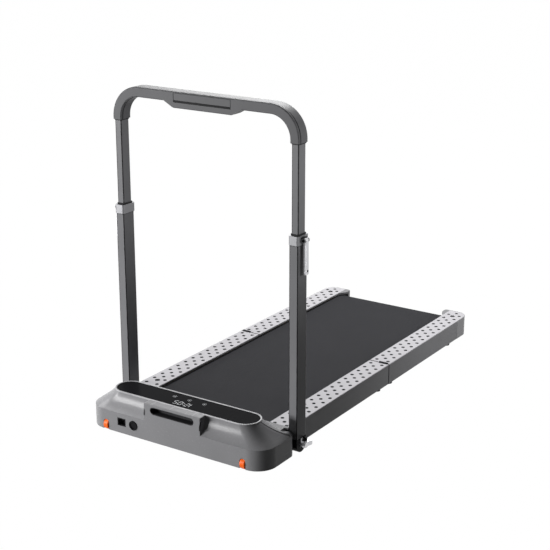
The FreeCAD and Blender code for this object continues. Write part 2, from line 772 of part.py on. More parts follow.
def rear_apron():
    """Lip that runs out over the front ends of the strips, with a guard down to the belt."""
    base = strip_top + slip
    side = deck_half - slip
    root = display_y + display_half_depth
    points = [Vec(-side, apron_end, base), Vec(-side, apron_end, base + apron_thickness),
              Vec(-side, head_rear, base + apron_thickness * 2),
              Vec(-side, head_rear - apron_reach, base + apron_rise),
              Vec(-side, root, base + apron_rise), Vec(-side, root, base)]
    guard_half = cover_inner - belt_overhang - slip
    guard = box(-guard_half, guard_half, head_rear - head_wall, apron_end, belt_top + belt_guard_gap, base)
    return prism(points, Vec(side * 2, 0, 0)).fuse(guard)


def wheel_slots():
    """Slots for the wheels through the skirt's front and the pan's edge."""
    half = wheel_width / 2 + wheel_slot_gap
    reach = wheel_y + wheel_radius + wheel_slot_gap
    arch = wheel_slot_height - half
    slot = box(wheel_x - half, wheel_x + half, head_front - overrun, reach, deck_base - overrun, arch)
    return slot.fuse(rod_y(half, head_front - overrun, reach, wheel_x, arch))


def head_cover():
    """Moulded cover of the head, hollow, open below and where the deck runs in at the rear."""
    outer = join(shoulder(0), handle_block(0), rear_apron())
    cover = outer.cut(shoulder(head_wall)).cut(handle_block(head_wall))
    side = deck_half + slip
    cover = cover.cut(box(-side, side, head_rear - head_wall - overrun, head_rear + overrun,
                          deck_base - overrun, belt_top + belt_guard_gap))
    for room in pair(box(cover_inner - belt_overhang - slip, side, head_rear - head_wall - overrun,
                         apron_end + overrun, deck_base - overrun, strip_top + slip)):
        cover = cover.cut(room)
    window_half = display_half_length - ring_width - lens_ledge
    window_depth = display_half_depth - ring_width - lens_ledge
    window = rounded_outline(-window_half, window_half, display_y - window_depth, display_y + window_depth,
                             head_top - head_wall - overrun, window_depth - slip, window_depth - slip)
    cover = cover.cut(Part.Face(window).extrude(Vec(0, 0, head_wall + overrun * 2)))
    face_out, face_in = head_front - overrun, head_front + head_wall + overrun
    cover = cover.cut(slot_prism(cup_wall + slip, face_out, face_in))
    for slot in pair(wheel_slots()):
        cover = cover.cut(slot)
    inlet_half = inlet_width / 2 + slip
    inlet_rise = inlet_height / 2 + slip
    cover = cover.cut(box(inlet_x - inlet_half, inlet_x + inlet_half, face_out, face_in,
                          fitting_height - inlet_rise, fitting_height + inlet_rise))
    return cover.cut(rod_y(switch_radius + slip, face_out, face_in, switch_x, fitting_height))


keep("head_cover", head_cover())


def stadium(half_length, half_depth, z0, z1):
    """Plate with round ends, centred on the display."""
    outline = rounded_outline(-half_length, half_length, display_y - half_depth, display_y + half_depth, z0,
                              half_depth - slip, half_depth - slip)
    return Part.Face(outline).extrude(Vec(0, 0, z1 - z0))


def base_pan():
    """Pan that closes the head below, with an ear each side of both wheels."""
    inset = head_wall + slip
    side = head_half_width - inset
    outline = rounded_outline(-side, side, head_front + inset, head_rear - inset, deck_base,
                              head_front_corner - inset, head_rear_corner - inset)
    pan = Part.Face(outline).extrude(Vec(0, 0, pan_thickness))
    inner = wheel_width / 2 + wheel_slot_gap + slip
    for slot in pair(wheel_slots()):
        pan = pan.cut(slot)
    ears = []
    for x0, x1 in ((wheel_x - inner - wheel_ear_thickness, wheel_x - inner),
                   (wheel_x + inner, wheel_x + inner + wheel_ear_thickness)):
        ears.append(box(x0, x1, wheel_y - wheel_ear_radius, wheel_y + wheel_ear_radius,
                        deck_base, wheel_height))
        ears.append(rod_x(wheel_ear_radius, x0, x1, wheel_y, wheel_height))
    for ear in ears:
        pan = pan.multiFuse(pair(ear))
    reach = inner + wheel_ear_thickness + overrun
    bore = rod_x(wheel_axle_radius + running_fit, wheel_x - reach, wheel_x + reach, wheel_y, wheel_height)
    for hole in pair(bore):
        pan = pan.cut(hole)
    return pan.removeSplitter()


def transport_wheel():
    """Right-hand transport wheel with rounded shoulders and a bored hub."""
    wheel = rod_x(wheel_radius, wheel_x - wheel_width / 2, wheel_x + wheel_width / 2, wheel_y, wheel_height)
    rims = [edge for edge in wheel.Edges if len(edge.Vertexes) == 1]
    wheel = wheel.makeFillet(wheel_round, rims)
    return wheel.cut(rod_x(wheel_axle_radius + running_fit, wheel_x - wheel_width, wheel_x + wheel_width,
                           wheel_y, wheel_height))


def power_inlet():
    """Recessed mains inlet with two chamfered corners and three flat pins."""
    half, rise = inlet_width / 2, inlet_height / 2
    shell = box(inlet_x - half, inlet_x + half, head_front, head_front + inlet_depth,
                fitting_height - rise, fitting_height + rise)
    inner, top = half - inlet_wall, rise - inlet_wall
    section = [(-inner, -top), (inner, -top), (inner, top - inlet_chamfer), (inner - inlet_chamfer, top),
               (inlet_chamfer - inner, top), (-inner, top - inlet_chamfer)]
    recess = prism([Vec(inlet_x + x, head_front - overrun, fitting_height + z) for x, z in section],
                   Vec(0, inlet_recess + overrun, 0))
    pieces = [shell.cut(recess)]
    floor = head_front + inlet_recess
    for column, lift in ((-1, 0), (0, 1), (1, 0)):
        x = inlet_x + column * inlet_pin_spacing
        z = fitting_height + lift * inlet_pin_width
        pieces.append(box(x - inlet_pin_thickness / 2,
                          x + inlet_pin_thickness / 2, floor - inlet_pin_length, floor,
                          z - inlet_pin_width / 2, z + inlet_pin_width / 2))
    return join(*pieces)


rocker_y = head_front + rocker_thickness / 2
rocker_half = switch_bore_radius + rocker_pin_reach


def switch_housing():
    """Round switch body with a rim on the face of the head and a bore for its rocker."""
    body = rod_y(switch_radius, head_front, head_front + switch_depth, switch_x, fitting_height)
    rim = rod_y(switch_rim_radius, head_front - switch_rim_height, head_front, switch_x, fitting_height)
    bore = rod_y(switch_bore_radius, head_front - switch_rim_height - overrun, head_front + switch_bore_depth,
                 switch_x, fitting_height)
    pivot = rod_x(rocker_pin_radius + running_fit,
                  switch_x - rocker_half - slip, switch_x + rocker_half + slip,
                  rocker_y, fitting_height)
    return join(body, rim).cut(bore).cut(pivot)


def switch_rocker():
    """Round rocker on its two pivot stubs, tilted to one side."""
    disc = rod_y(rocker_radius, rocker_y - rocker_thickness / 2, rocker_y + rocker_thickness / 2,
                 switch_x, fitting_height)
    stubs = rod_x(rocker_pin_radius, switch_x - rocker_half, switch_x + rocker_half, rocker_y, fitting_height)
    rocker = join(disc, stubs)
    rocker.rotate(Vec(switch_x, rocker_y, fitting_height), Vec(1, 0, 0), rocker_tilt)
    return rocker


keep("head_base_pan", base_pan())
lens_half = display_half_length - ring_width
lens_depth = display_half_depth - ring_width
ring = stadium(display_half_length, display_half_depth, head_top, head_top + ring_height)
ring_hole = stadium(lens_half, lens_depth, head_top - overrun, head_top + ring_height + overrun)
keep("display_ring", ring.cut(ring_hole))
keep("display_lens", stadium(lens_half - slip, lens_depth - slip, head_top, head_top + lens_height))
keep("display_board", box(-board_half_length, board_half_length, display_y - board_half_depth,
                          display_y + board_half_depth, head_top - board_height, head_top))
cup = slot_prism(cup_wall, head_front, head_front + cup_depth)
keep("carry_handle_cup", cup.cut(slot_prism(0, head_front - overrun, head_front + cup_depth - cup_wall)))
keep("power_inlet", power_inlet())
keep("switch_housing", switch_housing())
keep("switch_rocker", switch_rocker())
axle_half = wheel_width / 2 + wheel_slot_gap + slip + wheel_ear_thickness
wheel_axle = rod_x(wheel_axle_radius, wheel_x - axle_half, wheel_x + axle_half, wheel_y, wheel_height)
keep("wheel_axles", *pair(wheel_axle))
for side, hand in SIDES:
    keep("transport_wheel_" + side, sided(transport_wheel(), hand))

# Handrail
hub_start = lower_outer + run_gap
hub_end = hub_start + lock_hub_length
upper_base = lower_top - upper_overlap
corner_radius = bar_corner - bar_thickness / 2
corner_x = post_x - corner_radius
corner_z = handrail_height - bar_corner
post_foot = pivot_height - lower_depth / 2


def post_end():
    """Envelope of a lower post, round at its pivot."""
    low = rod_x(lower_depth / 2, lower_inner, lower_outer, post_y, pivot_height)
    return low.fuse(box(lower_inner, lower_outer, post_y - lower_depth / 2, post_y + lower_depth / 2,
                        pivot_height, lower_top))


def pivot_hole():
    """Bore for the pivot bolt through the right-hand post."""
    return rod_x(pivot_radius + running_fit, lower_inner - overrun, lower_outer + overrun,
                 post_y, pivot_height)


def lower_post():
    """Outer tube of the right-hand post."""
    tube = rounded_bar(lower_width, lower_depth, lower_round, post_x, post_y, post_foot, lower_top)
    bore = rounded_bar(lower_width - lower_wall * 2, lower_depth - lower_wall * 2, lower_round - lower_wall,
                       post_x, post_y, post_foot - overrun, lower_top + overrun)
    return tube.common(post_end()).cut(bore).cut(pivot_hole())


def pivot_plug():
    """Plug in the foot of the right-hand post, bored for the pivot bolt."""
    play = (lower_wall + slip) * 2
    plug = rounded_bar(lower_width - play, lower_depth - play, lower_round - lower_wall, post_x, post_y,
                       post_foot, pivot_height + pivot_plug_height / 2)
    return plug.common(post_end()).cut(pivot_hole())


def pivot_bolt():
    """Bolt from the frame tube out through the post to the nut that holds the lock lever."""
    head = rod_x(pivot_head_radius, tube_inner - pivot_head_height, tube_inner, post_y, pivot_height)
    shank = rod_x(pivot_radius, tube_inner, hub_end + slip, post_y, pivot_height)
    nut = rod_x(lock_nut_radius, hub_end + slip, hub_end + slip + lock_nut_height, post_y, pivot_height)
    return join(head, shank, nut)


def lock_lever():
    """Lever that tightens the post's pivot: a hub and an arm that flares outwards towards the tail."""
    hub = rod_x(lock_hub_radius, hub_start, hub_end, post_y, pivot_height)
    root = hub_end - lock_arm_thickness
    tip_y = post_y + lock_arm_length
    low = pivot_height - lock_arm_height / 2
    arm = prism([Vec(root, post_y, low), Vec(hub_end, post_y, low), Vec(hub_end + lock_arm_flare, tip_y, low),
                 Vec(root + lock_arm_flare, tip_y, low)], Vec(0, 0, lock_arm_height))
    tip = rod_z(lock_arm_thickness / 2, low, low + lock_arm_height,
                hub_end + lock_arm_flare - lock_arm_thickness / 2, tip_y)
    arm = join(arm, tip)
    room = rod_x(lock_nut_radius + slip, hub_end, hub_end + lock_arm_flare, post_y, pivot_height)
    bore = rod_x(pivot_radius + running_fit, hub_start - overrun, hub_end + overrun, post_y, pivot_height)
    return join(hub, arm).cut(room).cut(bore)


def clamp_collar():
    """Collar at the top of the right-hand lower tube, with two ears for its lever."""
    wrap = collar_wall * 2
    collar = rounded_bar(lower_width + wrap, lower_depth + wrap, lower_round + collar_wall, post_x, post_y,
                         collar_base, collar_top)
    inner = lever_width / 2 + slip
    pieces = [collar]
    outer = inner + ear_thickness
    for y0, y1 in ((post_y - outer, post_y - inner), (post_y + inner, post_y + outer)):
        pieces.append(box(lower_outer, clamp_pin_x, y0, y1,
                          clamp_pin_z - ear_radius, clamp_pin_z + ear_radius))
        pieces.append(rod_y(ear_radius, y0, y1, clamp_pin_x, clamp_pin_z))
    collar = join(*pieces)
    seat = rounded_bar(lower_width + slip, lower_depth + slip, lower_round, post_x, post_y,
                       collar_base - overrun, lower_top)
    passage = rounded_bar(upper_width + slide_gap * 2,
                          upper_depth + slide_gap * 2, upper_round, post_x, post_y,
                          collar_base - overrun, collar_top + overrun)
    reach = outer + overrun
    hole = rod_y(clamp_pin_radius + running_fit, post_y - reach, post_y + reach, clamp_pin_x, clamp_pin_z)
    return collar.cut(seat).cut(passage).cut(hole)


def clamp_lever():
    """Cam lever that hangs down the outer side of the right-hand post."""
    half = lever_width / 2
    head = rod_y(lever_head_radius, post_y - half, post_y + half, clamp_pin_x, clamp_pin_z)
    tip_x, tip_z = clamp_pin_x + lever_lean, clamp_pin_z - lever_length
    thick = lever_thickness / 2
    face = post_y - half
    arm = prism([Vec(clamp_pin_x - thick, face, clamp_pin_z), Vec(tip_x - thick, face, tip_z),
                 Vec(tip_x + thick, face, tip_z), Vec(clamp_pin_x + lever_head_radius, face, clamp_pin_z)],
                Vec(0, lever_width, 0))
    tip = rod_y(thick, post_y - half, post_y + half, tip_x, tip_z)
    hole = rod_y(lever_hole_radius, post_y - half - overrun, post_y + half + overrun, tip_x, tip_z)
    bore = rod_y(clamp_pin_radius + running_fit, post_y - half - overrun, post_y + half + overrun,
                 clamp_pin_x, clamp_pin_z)
    return join(head, arm, tip).cut(hole).cut(bore)


def bent_bar(width, depth, radius, leg_base):
    """Bar bent into the handrail's upturned U, with its section's width in the plane of the U."""
    pieces = []
    for _, hand in SIDES:
        outline = rounded_outline(hand * post_x - width / 2, hand * post_x + width / 2, post_y - depth / 2,
                                  post_y + depth / 2, leg_base, radius, radius)
        face = Part.Face(outline)
        pieces.append(face.extrude(Vec(0, 0, corner_z - leg_base)))
        face.translate(Vec(0, 0, corner_z - leg_base))
        pieces.append(face.revolve(Vec(hand * corner_x, post_y, corner_z), Vec(0, -hand, 0), 90))
    face.rotate(Vec(corner_x, post_y, corner_z), Vec(0, -1, 0), 90)
    pieces.append(face.extrude(Vec(-corner_x * 2, 0, 0)))
    return join(*pieces)


def upper_tube():
    """Steel tube of the handrail, bent in one piece."""
    inner_base = upper_base - overrun
    return bent_bar(upper_width, upper_depth, upper_round, upper_base).cut(
        bent_bar(upper_width - upper_wall * 2,
                 upper_depth - upper_wall * 2, upper_round - upper_wall, inner_base))


rest_axis_y = bar_front + rest_thickness / 2
rest_top = handrail_height - rest_top_inset
rest_axis_z = rest_top - rest_thickness / 2
rest_base = rest_top - rest_height


def handlebar():
    """Whole plastic cover of the handlebar, with its keel and the recess of the rest."""
    keel_base = bar_base - keel_depth
    keel_root = bar_base + bar_edge
    slope = (keel_top_half - keel_bottom_half) / keel_depth * bar_edge
    top = keel_top_half + slope
    keel = prism([Vec(-top, bar_front, keel_root), Vec(-keel_bottom_half, bar_front, keel_base),
                  Vec(keel_bottom_half, bar_front, keel_base), Vec(top, bar_front, keel_root)],
                 Vec(0, bar_depth, 0))
    low_edges = [edge for edge in keel.Edges if abs(edge.CenterOfMass.z - keel_base) < overrun]
    keel = keel.makeFillet(bar_edge, low_edges)
    cover = join(bent_bar(bar_thickness, bar_depth, bar_edge, sleeve_end), keel)
    cover = cover.cut(bent_bar(upper_width + slip, upper_depth + slip, upper_round, sleeve_end - overrun))
    side = rest_half_width + run_gap
    recess = box(-side, side, bar_front - overrun, bar_front + rest_thickness + run_gap,
                 rest_base - grip_slot_height, rest_top + run_gap)
    grip = rest_half_width + rest_pin_grip + slip
    return cover.cut(recess).cut(rod_x(rest_pin_radius + running_fit, -grip, grip, rest_axis_y, rest_axis_z))


def tablet_rest():
    """Flap on the front of the handlebar, on moulded pivot stubs along its top edge."""
    back = bar_front + rest_thickness
    plate = box(-rest_half_width, rest_half_width, bar_front, back, rest_base, rest_axis_z)
    barrel = rod_x(rest_thickness / 2, -rest_half_width, rest_half_width, rest_axis_y, rest_axis_z)
    reach = rest_half_width + rest_pin_grip
    return join(plate, barrel, rod_x(rest_pin_radius, -reach, reach, rest_axis_y, rest_axis_z))


def slide_bush():
    """Plastic bush at the foot of the right-hand upper tube, a sliding fit in the lower one."""
    play = (lower_wall + slide_gap) * 2
    top = upper_base + slide_bush_length
    bush = rounded_bar(lower_width - play, lower_depth - play, lower_round - lower_wall, post_x, post_y,
                       upper_base, top)
    return bush.cut(rounded_bar(upper_width + slip, upper_depth + slip, upper_round, post_x, post_y,
                                upper_base - overrun, top + overrun))


for side, hand in SIDES:
    keep("lower_post_" + side, sided(lower_post(), hand))
    keep("clamp_lever_" + side, sided(clamp_lever(), hand))
    keep("lock_lever_" + side, sided(lock_lever(), hand))
keep("clamp_collars", *pair(clamp_collar()))
keep("pivot_plugs", *pair(pivot_plug()))
keep("pivot_bolts", *pair(pivot_bolt()))
clamp_reach = lever_width / 2 + slip + ear_thickness
clamp_pin = rod_y(clamp_pin_radius, post_y - clamp_reach, post_y + clamp_reach, clamp_pin_x, clamp_pin_z)
keep("clamp_pins", *pair(clamp_pin))
keep("upper_tube", upper_tube())
keep("slide_bushes", *pair(slide_bush()))
bar_cover = handlebar()
split_y = bar_front + shell_split
span = post_x * 2
keep("handlebar_front_cover", bar_cover.common(box(-span, span, bar_front - overrun, split_y - split_groove,
                                                   0, handrail_height + overrun)))
keep("handlebar_rear_cover", bar_cover.common(box(-span, span, split_y, bar_front + bar_depth + overrun,
                                                  0, handrail_height + overrun)))
keep("tablet_rest", tablet_rest())

# Writing one file for each node
os.makedirs("parts", exist_ok=True)
for name, shape in NODES.items():
    shape.exportStep("parts/" + name + ".step")
print(len(NODES), "nodes written")
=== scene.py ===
# %% [markdown]
# A folding walking pad with a fold-down handrail.
# The imported solids give every size and every moving body, so this lesson only adds the looks: rounded edges,
# a running belt in one loop, rubber dots, a lit display and a finish for each surface.
# Every piece is made in metres, in the frame of the solids: X across the belt, Y from the head to the tail, Z up.

# %% Load the frame
import bpy
import bmesh
import json
import math
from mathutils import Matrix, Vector
from mathutils.bvhtree import BVHTree


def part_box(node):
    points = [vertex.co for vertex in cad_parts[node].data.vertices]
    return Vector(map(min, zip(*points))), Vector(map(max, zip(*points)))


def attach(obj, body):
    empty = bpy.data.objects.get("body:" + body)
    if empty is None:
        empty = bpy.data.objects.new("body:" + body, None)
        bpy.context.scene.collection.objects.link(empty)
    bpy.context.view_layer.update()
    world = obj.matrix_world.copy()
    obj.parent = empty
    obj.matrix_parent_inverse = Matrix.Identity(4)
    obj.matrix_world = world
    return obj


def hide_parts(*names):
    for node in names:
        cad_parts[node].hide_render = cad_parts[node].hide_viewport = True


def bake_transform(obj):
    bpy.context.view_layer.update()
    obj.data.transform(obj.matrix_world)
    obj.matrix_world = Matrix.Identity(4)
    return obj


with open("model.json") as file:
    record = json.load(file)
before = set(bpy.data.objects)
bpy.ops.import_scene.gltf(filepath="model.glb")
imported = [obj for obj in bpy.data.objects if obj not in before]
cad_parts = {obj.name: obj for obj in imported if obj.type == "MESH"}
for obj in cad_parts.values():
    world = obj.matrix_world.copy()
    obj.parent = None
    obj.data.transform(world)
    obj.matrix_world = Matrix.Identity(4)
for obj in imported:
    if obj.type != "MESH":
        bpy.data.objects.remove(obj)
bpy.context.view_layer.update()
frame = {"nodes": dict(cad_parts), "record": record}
nodes = frame["nodes"]
body_of = {node: body for body, members in frame["record"]["behaviour"]["bodies"].items() for node in members}
slot_of = {part["node"]: part["material_slot"] for part in frame["record"]["subparts"]}
mm = 0.001

# %% [markdown]
# A few helpers serve every step. One puts an object in the scene, two measure a solid's box, and the others add
# nodes and link them, so that a step only says which nodes it needs.

# %% Scene and node helpers
def linked(name, data):
    """Object with this data, in the scene."""
    thing = bpy.data.objects.new(name, data)
    bpy.context.scene.collection.objects.link(thing)
    return thing


def middle(box, axis):
    """Middle of a box along X, Y or Z: 0, 1 or 2."""
    return (box[0][axis] + box[1][axis]) / 2


def half_size(box, axis):
    """Half of a box's size along X, Y or Z."""
    return (box[1][axis] - box[0][axis]) / 2


def add(tree, kind, links=(), **settings):
    """Outputs of a new node with these settings, after links or values for its inputs."""
    node = tree.nodes.new(kind)
    for label, value in settings.items():
        setattr(node, label, value)
    for socket, source in links:
        if isinstance(source, bpy.types.NodeSocket):
            tree.links.new(source, node.inputs[socket])
        else:
            node.inputs[socket].default_value = source
    return node.outputs


def maths(tree, kind, first, second=0.0):
    """Result of one Math node."""
    return add(tree, "ShaderNodeMath", [(0, first), (1, second)], operation=kind)[0]


def ranged(tree, value, start, end, low=0.0, high=1.0):
    """Value mapped from start and end to low and high, and held between them."""
    return add(tree, "ShaderNodeMapRange", [("Value", value), ("From Min", start), ("From Max", end), ("To Min", low),
                                            ("To Max", high)])["Result"]


def parts_of(tree, vector):
    """The X, Y and Z of a vector."""
    return add(tree, "ShaderNodeSeparateXYZ", [("Vector", vector)])


def surface(material):
    """Node tree of a material, and the inputs of its surface shader."""
    material.use_nodes = True
    return material.node_tree, material.node_tree.nodes["Principled BSDF"].inputs


print("helpers ready")

# %% [markdown]
# The camera stands at the photograph's place, in front of the head and to the right of it.
# Its direction is given as a turn and a height angle about the middle of the pad, as a photographer would say it,
# and a long lens at over four metres keeps the posts nearly parallel.

# %% Camera
camera_turn, camera_rise = math.radians(33.43), math.radians(17.82)
camera_distance = 4.5194
camera_target = Vector((-0.1537, 0.0945, 0.3103))
camera_back = Vector((math.sin(camera_turn) * math.cos(camera_rise), -math.cos(camera_turn) * math.cos(camera_rise),
                      math.sin(camera_rise)))
camera_data = bpy.data.cameras.new("photo_camera")
camera_data.lens, camera_data.sensor_width = 87.42, 36.0
camera = linked("photo_camera", camera_data)
camera.location = camera_target + camera_back * camera_distance
camera.rotation_euler = camera_back.to_track_quat("Z", "Y").to_euler()
bpy.context.scene.camera = camera
bpy.context.scene.view_settings.view_transform = "Standard"
print("camera at", [round(v, 3) for v in camera.location])

# %% [markdown]
# Studio light. The key is a broad lamp, low at the front left, for the faces that look forward. A second broad lamp
# stands high behind the pad and lights what faces up. Three spots pick out the right sides of the posts, the right
# side of the tail and the left shoulder of the head.
# The floor and the world are plain white for the eye and for reflections, but they light the object only softly.

# %% Light and floor
def aimed(name, data, place, aim):
    """Lamp that stands at a place and looks at a point."""
    lamp = linked(name, data)
    lamp.location = place
    lamp.rotation_euler = (Vector(place) - Vector(aim)).to_track_quat("Z", "Y").to_euler()


def soft_lamp(name, place, aim, size, power):
    """Rectangular area lamp: its size is in metres and its power in watts."""
    data = bpy.data.lights.new(name, "AREA")
    data.shape = "RECTANGLE"
    data.size, data.size_y = size
    data.energy = power
    aimed(name, data, place, aim)


def soft_spot(name, place, aim, cone, power):
    """Spot with a fading edge: its cone is in degrees and its power in watts."""
    data = bpy.data.lights.new(name, "SPOT")
    data.energy = power
    data.spot_size = math.radians(cone)
    data.spot_blend = 1.0
    data.shadow_soft_size = 0.25
    aimed(name, data, place, aim)


def seen_rays(tree):
    """1 for rays that see a surface directly, mirrored or through glass, 0 for rays that light it."""
    path = add(tree, "ShaderNodeLightPath")
    mirrored = maths(tree, "MAXIMUM", path["Is Glossy Ray"], path["Is Transmission Ray"])
    return maths(tree, "MAXIMUM", path["Is Camera Ray"], mirrored)


soft_lamp("key_lamp", (-3.7, -4.7, 0.75), (0.0, -0.4, 0.2), (2.8, 1.3), 425)
soft_spot("post_spot", (2.3, 0.3, 1.1), (0.24, -0.49, 0.88), 25, 155)
soft_spot("tail_spot", (1.8, 0.9, 0.6), (0.29, 0.52, 0.05), 44, 70)
soft_lamp("top_lamp", (-1.3, 2.4, 3.2), (0.0, 0.0, 0.4), (2.0, 2.0), 212)
soft_spot("head_spot", (-0.85, -0.80, 0.60), (-0.20, -0.66, 0.1), 50, 24)

world_light, world_seen = 0.06, 1.0
world = bpy.data.worlds.new("studio_white")
bpy.context.scene.world = world
world.use_nodes = True
world_tree = world.node_tree
background = world_tree.nodes["Background"].inputs
background["Color"].default_value = (1, 1, 1, 1)
world_level = ranged(world_tree, seen_rays(world_tree), 0.0, 1.0, world_light, world_seen)
world_tree.links.new(world_level, background["Strength"])

floor_half, floor_glow, floor_share = 14.0, 1.04, 0.96
floor_mesh = bpy.data.meshes.new("studio_floor")
floor_corners = [(x * floor_half, y * floor_half, 0) for x, y in ((-1, -1), (1, -1), (1, 1), (-1, 1))]
floor_mesh.from_pydata(floor_corners, [], [(0, 1, 2, 3)])
floor = linked("studio_floor", floor_mesh)
floor_paint = bpy.data.materials.new("floor_white")
floor_tree, floor_shader = surface(floor_paint)
for label, value in (("Base Color", (0.05, 0.05, 0.05, 1)), ("Roughness", 0.9), ("Specular IOR Level", 0.0)):
    floor_shader[label].default_value = value
floor_matt = floor_tree.nodes["Principled BSDF"].outputs["BSDF"]
floor_white = add(floor_tree, "ShaderNodeEmission", [("Strength", floor_glow)])["Emission"]
white_share = maths(floor_tree, "MULTIPLY", seen_rays(floor_tree), floor_share)
floor_mix = add(floor_tree, "ShaderNodeMixShader", [("Fac", white_share), (1, floor_matt), (2, floor_white)])
floor_tree.links.new(floor_mix["Shader"], floor_tree.nodes["Material Output"].inputs["Surface"])
floor_mesh.materials.append(floor_paint)
print("lamps", len(bpy.data.lights))

# %% [markdown]
# Effects that several finishes share are shader groups, made once and placed with their own values.
# A fine grain stands for spark-eroded mould texture or powder coat, a slow mottling for the uneven sheen that
# handling leaves, an edge mask for paint rubbed thin on corners, and dust gathers on what faces up.

# %% Shader groups
def node_group(name, family, inputs, outputs):
    """Empty node group with named sockets: the tree, what it is given and what it results in."""
    tree = bpy.data.node_groups.new(name, family)
    for label, kind in outputs:
        tree.interface.new_socket(label, in_out="OUTPUT", socket_type="NodeSocket" + kind)
    for label, kind, value in inputs:
        socket = tree.interface.new_socket(label, in_out="INPUT", socket_type="NodeSocket" + kind)
        if value is not None:
            socket.default_value = value
    return tree, tree.nodes.new("NodeGroupInput").outputs, tree.nodes.new("NodeGroupOutput").inputs


def shader_group(name, label, value, outputs):
    """Empty shader group with one number to set."""
    return node_group(name, "ShaderNodeTree", [(label, "Float", value)], [(out, "Float") for out in outputs])


def object_place(tree):
    """Place of a point in its object."""
    return add(tree, "ShaderNodeTexCoord")["Object"]


def noise(tree, place, scale, detail):
    """Soft noise between 0 and 1."""
    return add(tree, "ShaderNodeTexNoise", [("Vector", place), ("Scale", scale), ("Detail", detail)])["Fac"]


def make_grain():
    """Fine random bumps and their tone: Scale is bumps per metre."""
    tree, given, result = shader_group("fine_grain", "Scale", 900.0, ("Height", "Tone"))
    place = object_place(tree)
    tone = noise(tree, place, given["Scale"], 1.5)
    cells = add(tree, "ShaderNodeTexVoronoi", [("Vector", place), ("Scale", given["Scale"])])
    tree.links.new(maths(tree, "ADD", tone, cells["Distance"]), result["Height"])
    tree.links.new(tone, result["Tone"])
    return tree


def make_mottling():
    """Slow cloudy change over the surface, and thin scuffs."""
    tree, given, result = shader_group("handled_sheen", "Scale", 9.0, ("Cloud", "Scuff"))
    place = object_place(tree)
    drawn = add(tree, "ShaderNodeMapping", [("Vector", place), ("Scale", (60.0, 4.0, 60.0)),
                                            ("Rotation", (0.3, 0.2, 0.5))])["Vector"]
    tree.links.new(noise(tree, place, given["Scale"], 4.0), result["Cloud"])
    tree.links.new(ranged(tree, noise(tree, drawn, 3.0, 3.0), 0.62, 0.74), result["Scuff"])
    return tree


def make_edge_rub():
    """Mask of the outer edges, broken up by noise: Width is in metres."""
    tree, given, result = shader_group("edge_rub", "Width", 0.0015, ("Mask",))
    rounded = add(tree, "ShaderNodeBevel", [("Radius", given["Width"])], samples=4)["Normal"]
    flat = add(tree, "ShaderNodeNewGeometry")["Normal"]
    match = add(tree, "ShaderNodeVectorMath", [(0, rounded), (1, flat)], operation="DOT_PRODUCT")["Value"]
    patchy = ranged(tree, noise(tree, object_place(tree), 120.0, 3.0), 0.4, 0.62)
    tree.links.new(maths(tree, "MULTIPLY", ranged(tree, match, 0.99, 0.86), patchy), result["Mask"])
    return tree


def make_dust():
    """Mask of faint dust on faces that look up."""
    tree, given, result = shader_group("settled_dust", "Scale", 45.0, ("Mask",))
    facing = parts_of(tree, add(tree, "ShaderNodeNewGeometry")["Normal"])["Z"]
    patchy = ranged(tree, noise(tree, object_place(tree), given["Scale"], 6.0), 0.45, 0.8)
    tree.links.new(maths(tree, "MULTIPLY", ranged(tree, facing, 0.5, 1.0), patchy), result["Mask"])
    return tree


grain_group, sheen_group, edge_group, dust_group = make_grain(), make_mottling(), make_edge_rub(), make_dust()
print("shader groups", [g.name for g in bpy.data.node_groups])

# %% [markdown]
# Each finish starts from one recipe: a Principled shader whose colour drifts with the mottling, whose roughness
# follows scuffs, whose edges are a little lighter where they rub, and whose bump is the fine grain.
# The numbers say what the surface is: powder coat is rougher than a mould, cast silver is metal.

# %% Finishes
grey_wear, dust_colour = (0.30, 0.30, 0.31), (0.5, 0.49, 0.47)
rub_width, rub_share, grain_height = 1.2 * mm, 0.55, 0.4 * mm


def group_node(tree, group, **values):
    """Outputs of a shader group placed in a material with its own values."""
    return add(tree, "ShaderNodeGroup", [(label.capitalize(), v) for label, v in values.items()], node_tree=group)


def mixed(tree, share, first, second):
    """Colour between two, by a mask."""
    first, second = ((*c, 1) if isinstance(c, tuple) else c for c in (first, second))
    return add(tree, "ShaderNodeMix", [("Factor", share), ("A", first), ("B", second)], data_type="RGBA")["Result"]


def toned(colour, share):
    """A colour made lighter or darker."""
    return tuple(min(1.0, c * share) for c in colour)


def finish(name, colour, rough, metal=0.0, grain=900.0, bump=0.1, drift=0.12, wear=None, dust=0.0, gloss=0.15,
           scuff=0.12):
    """Material with drifting colour, scuffed roughness, rubbed edges, dust and a fine bump."""
    material = bpy.data.materials.new(name)
    tree, shader = surface(material)
    sheen = group_node(tree, sheen_group, scale=9.0)
    fine = group_node(tree, grain_group, scale=grain)
    paint = mixed(tree, sheen["Cloud"], toned(colour, 1 - drift), toned(colour, 1 + drift))
    paint = mixed(tree, maths(tree, "MULTIPLY", fine["Tone"], drift), paint, toned(colour, 1.25))
    if wear:
        rub = group_node(tree, edge_group, width=rub_width)["Mask"]
        paint = mixed(tree, maths(tree, "MULTIPLY", rub, rub_share), paint, wear)
    if dust:
        paint = mixed(tree, maths(tree, "MULTIPLY", group_node(tree, dust_group)["Mask"], dust), paint, dust_colour)
    tree.links.new(paint, shader["Base Color"])
    tree.links.new(ranged(tree, sheen["Scuff"], 0.0, 1.0, rough, min(1.0, rough + scuff)), shader["Roughness"])
    shader["Metallic"].default_value = metal
    shader["Specular IOR Level"].default_value = gloss
    if bump:
        relief = add(tree, "ShaderNodeBump", [("Height", fine["Height"]), ("Strength", bump),
                                              ("Distance", grain_height)])
        tree.links.new(relief["Normal"], shader["Normal"])
    return material


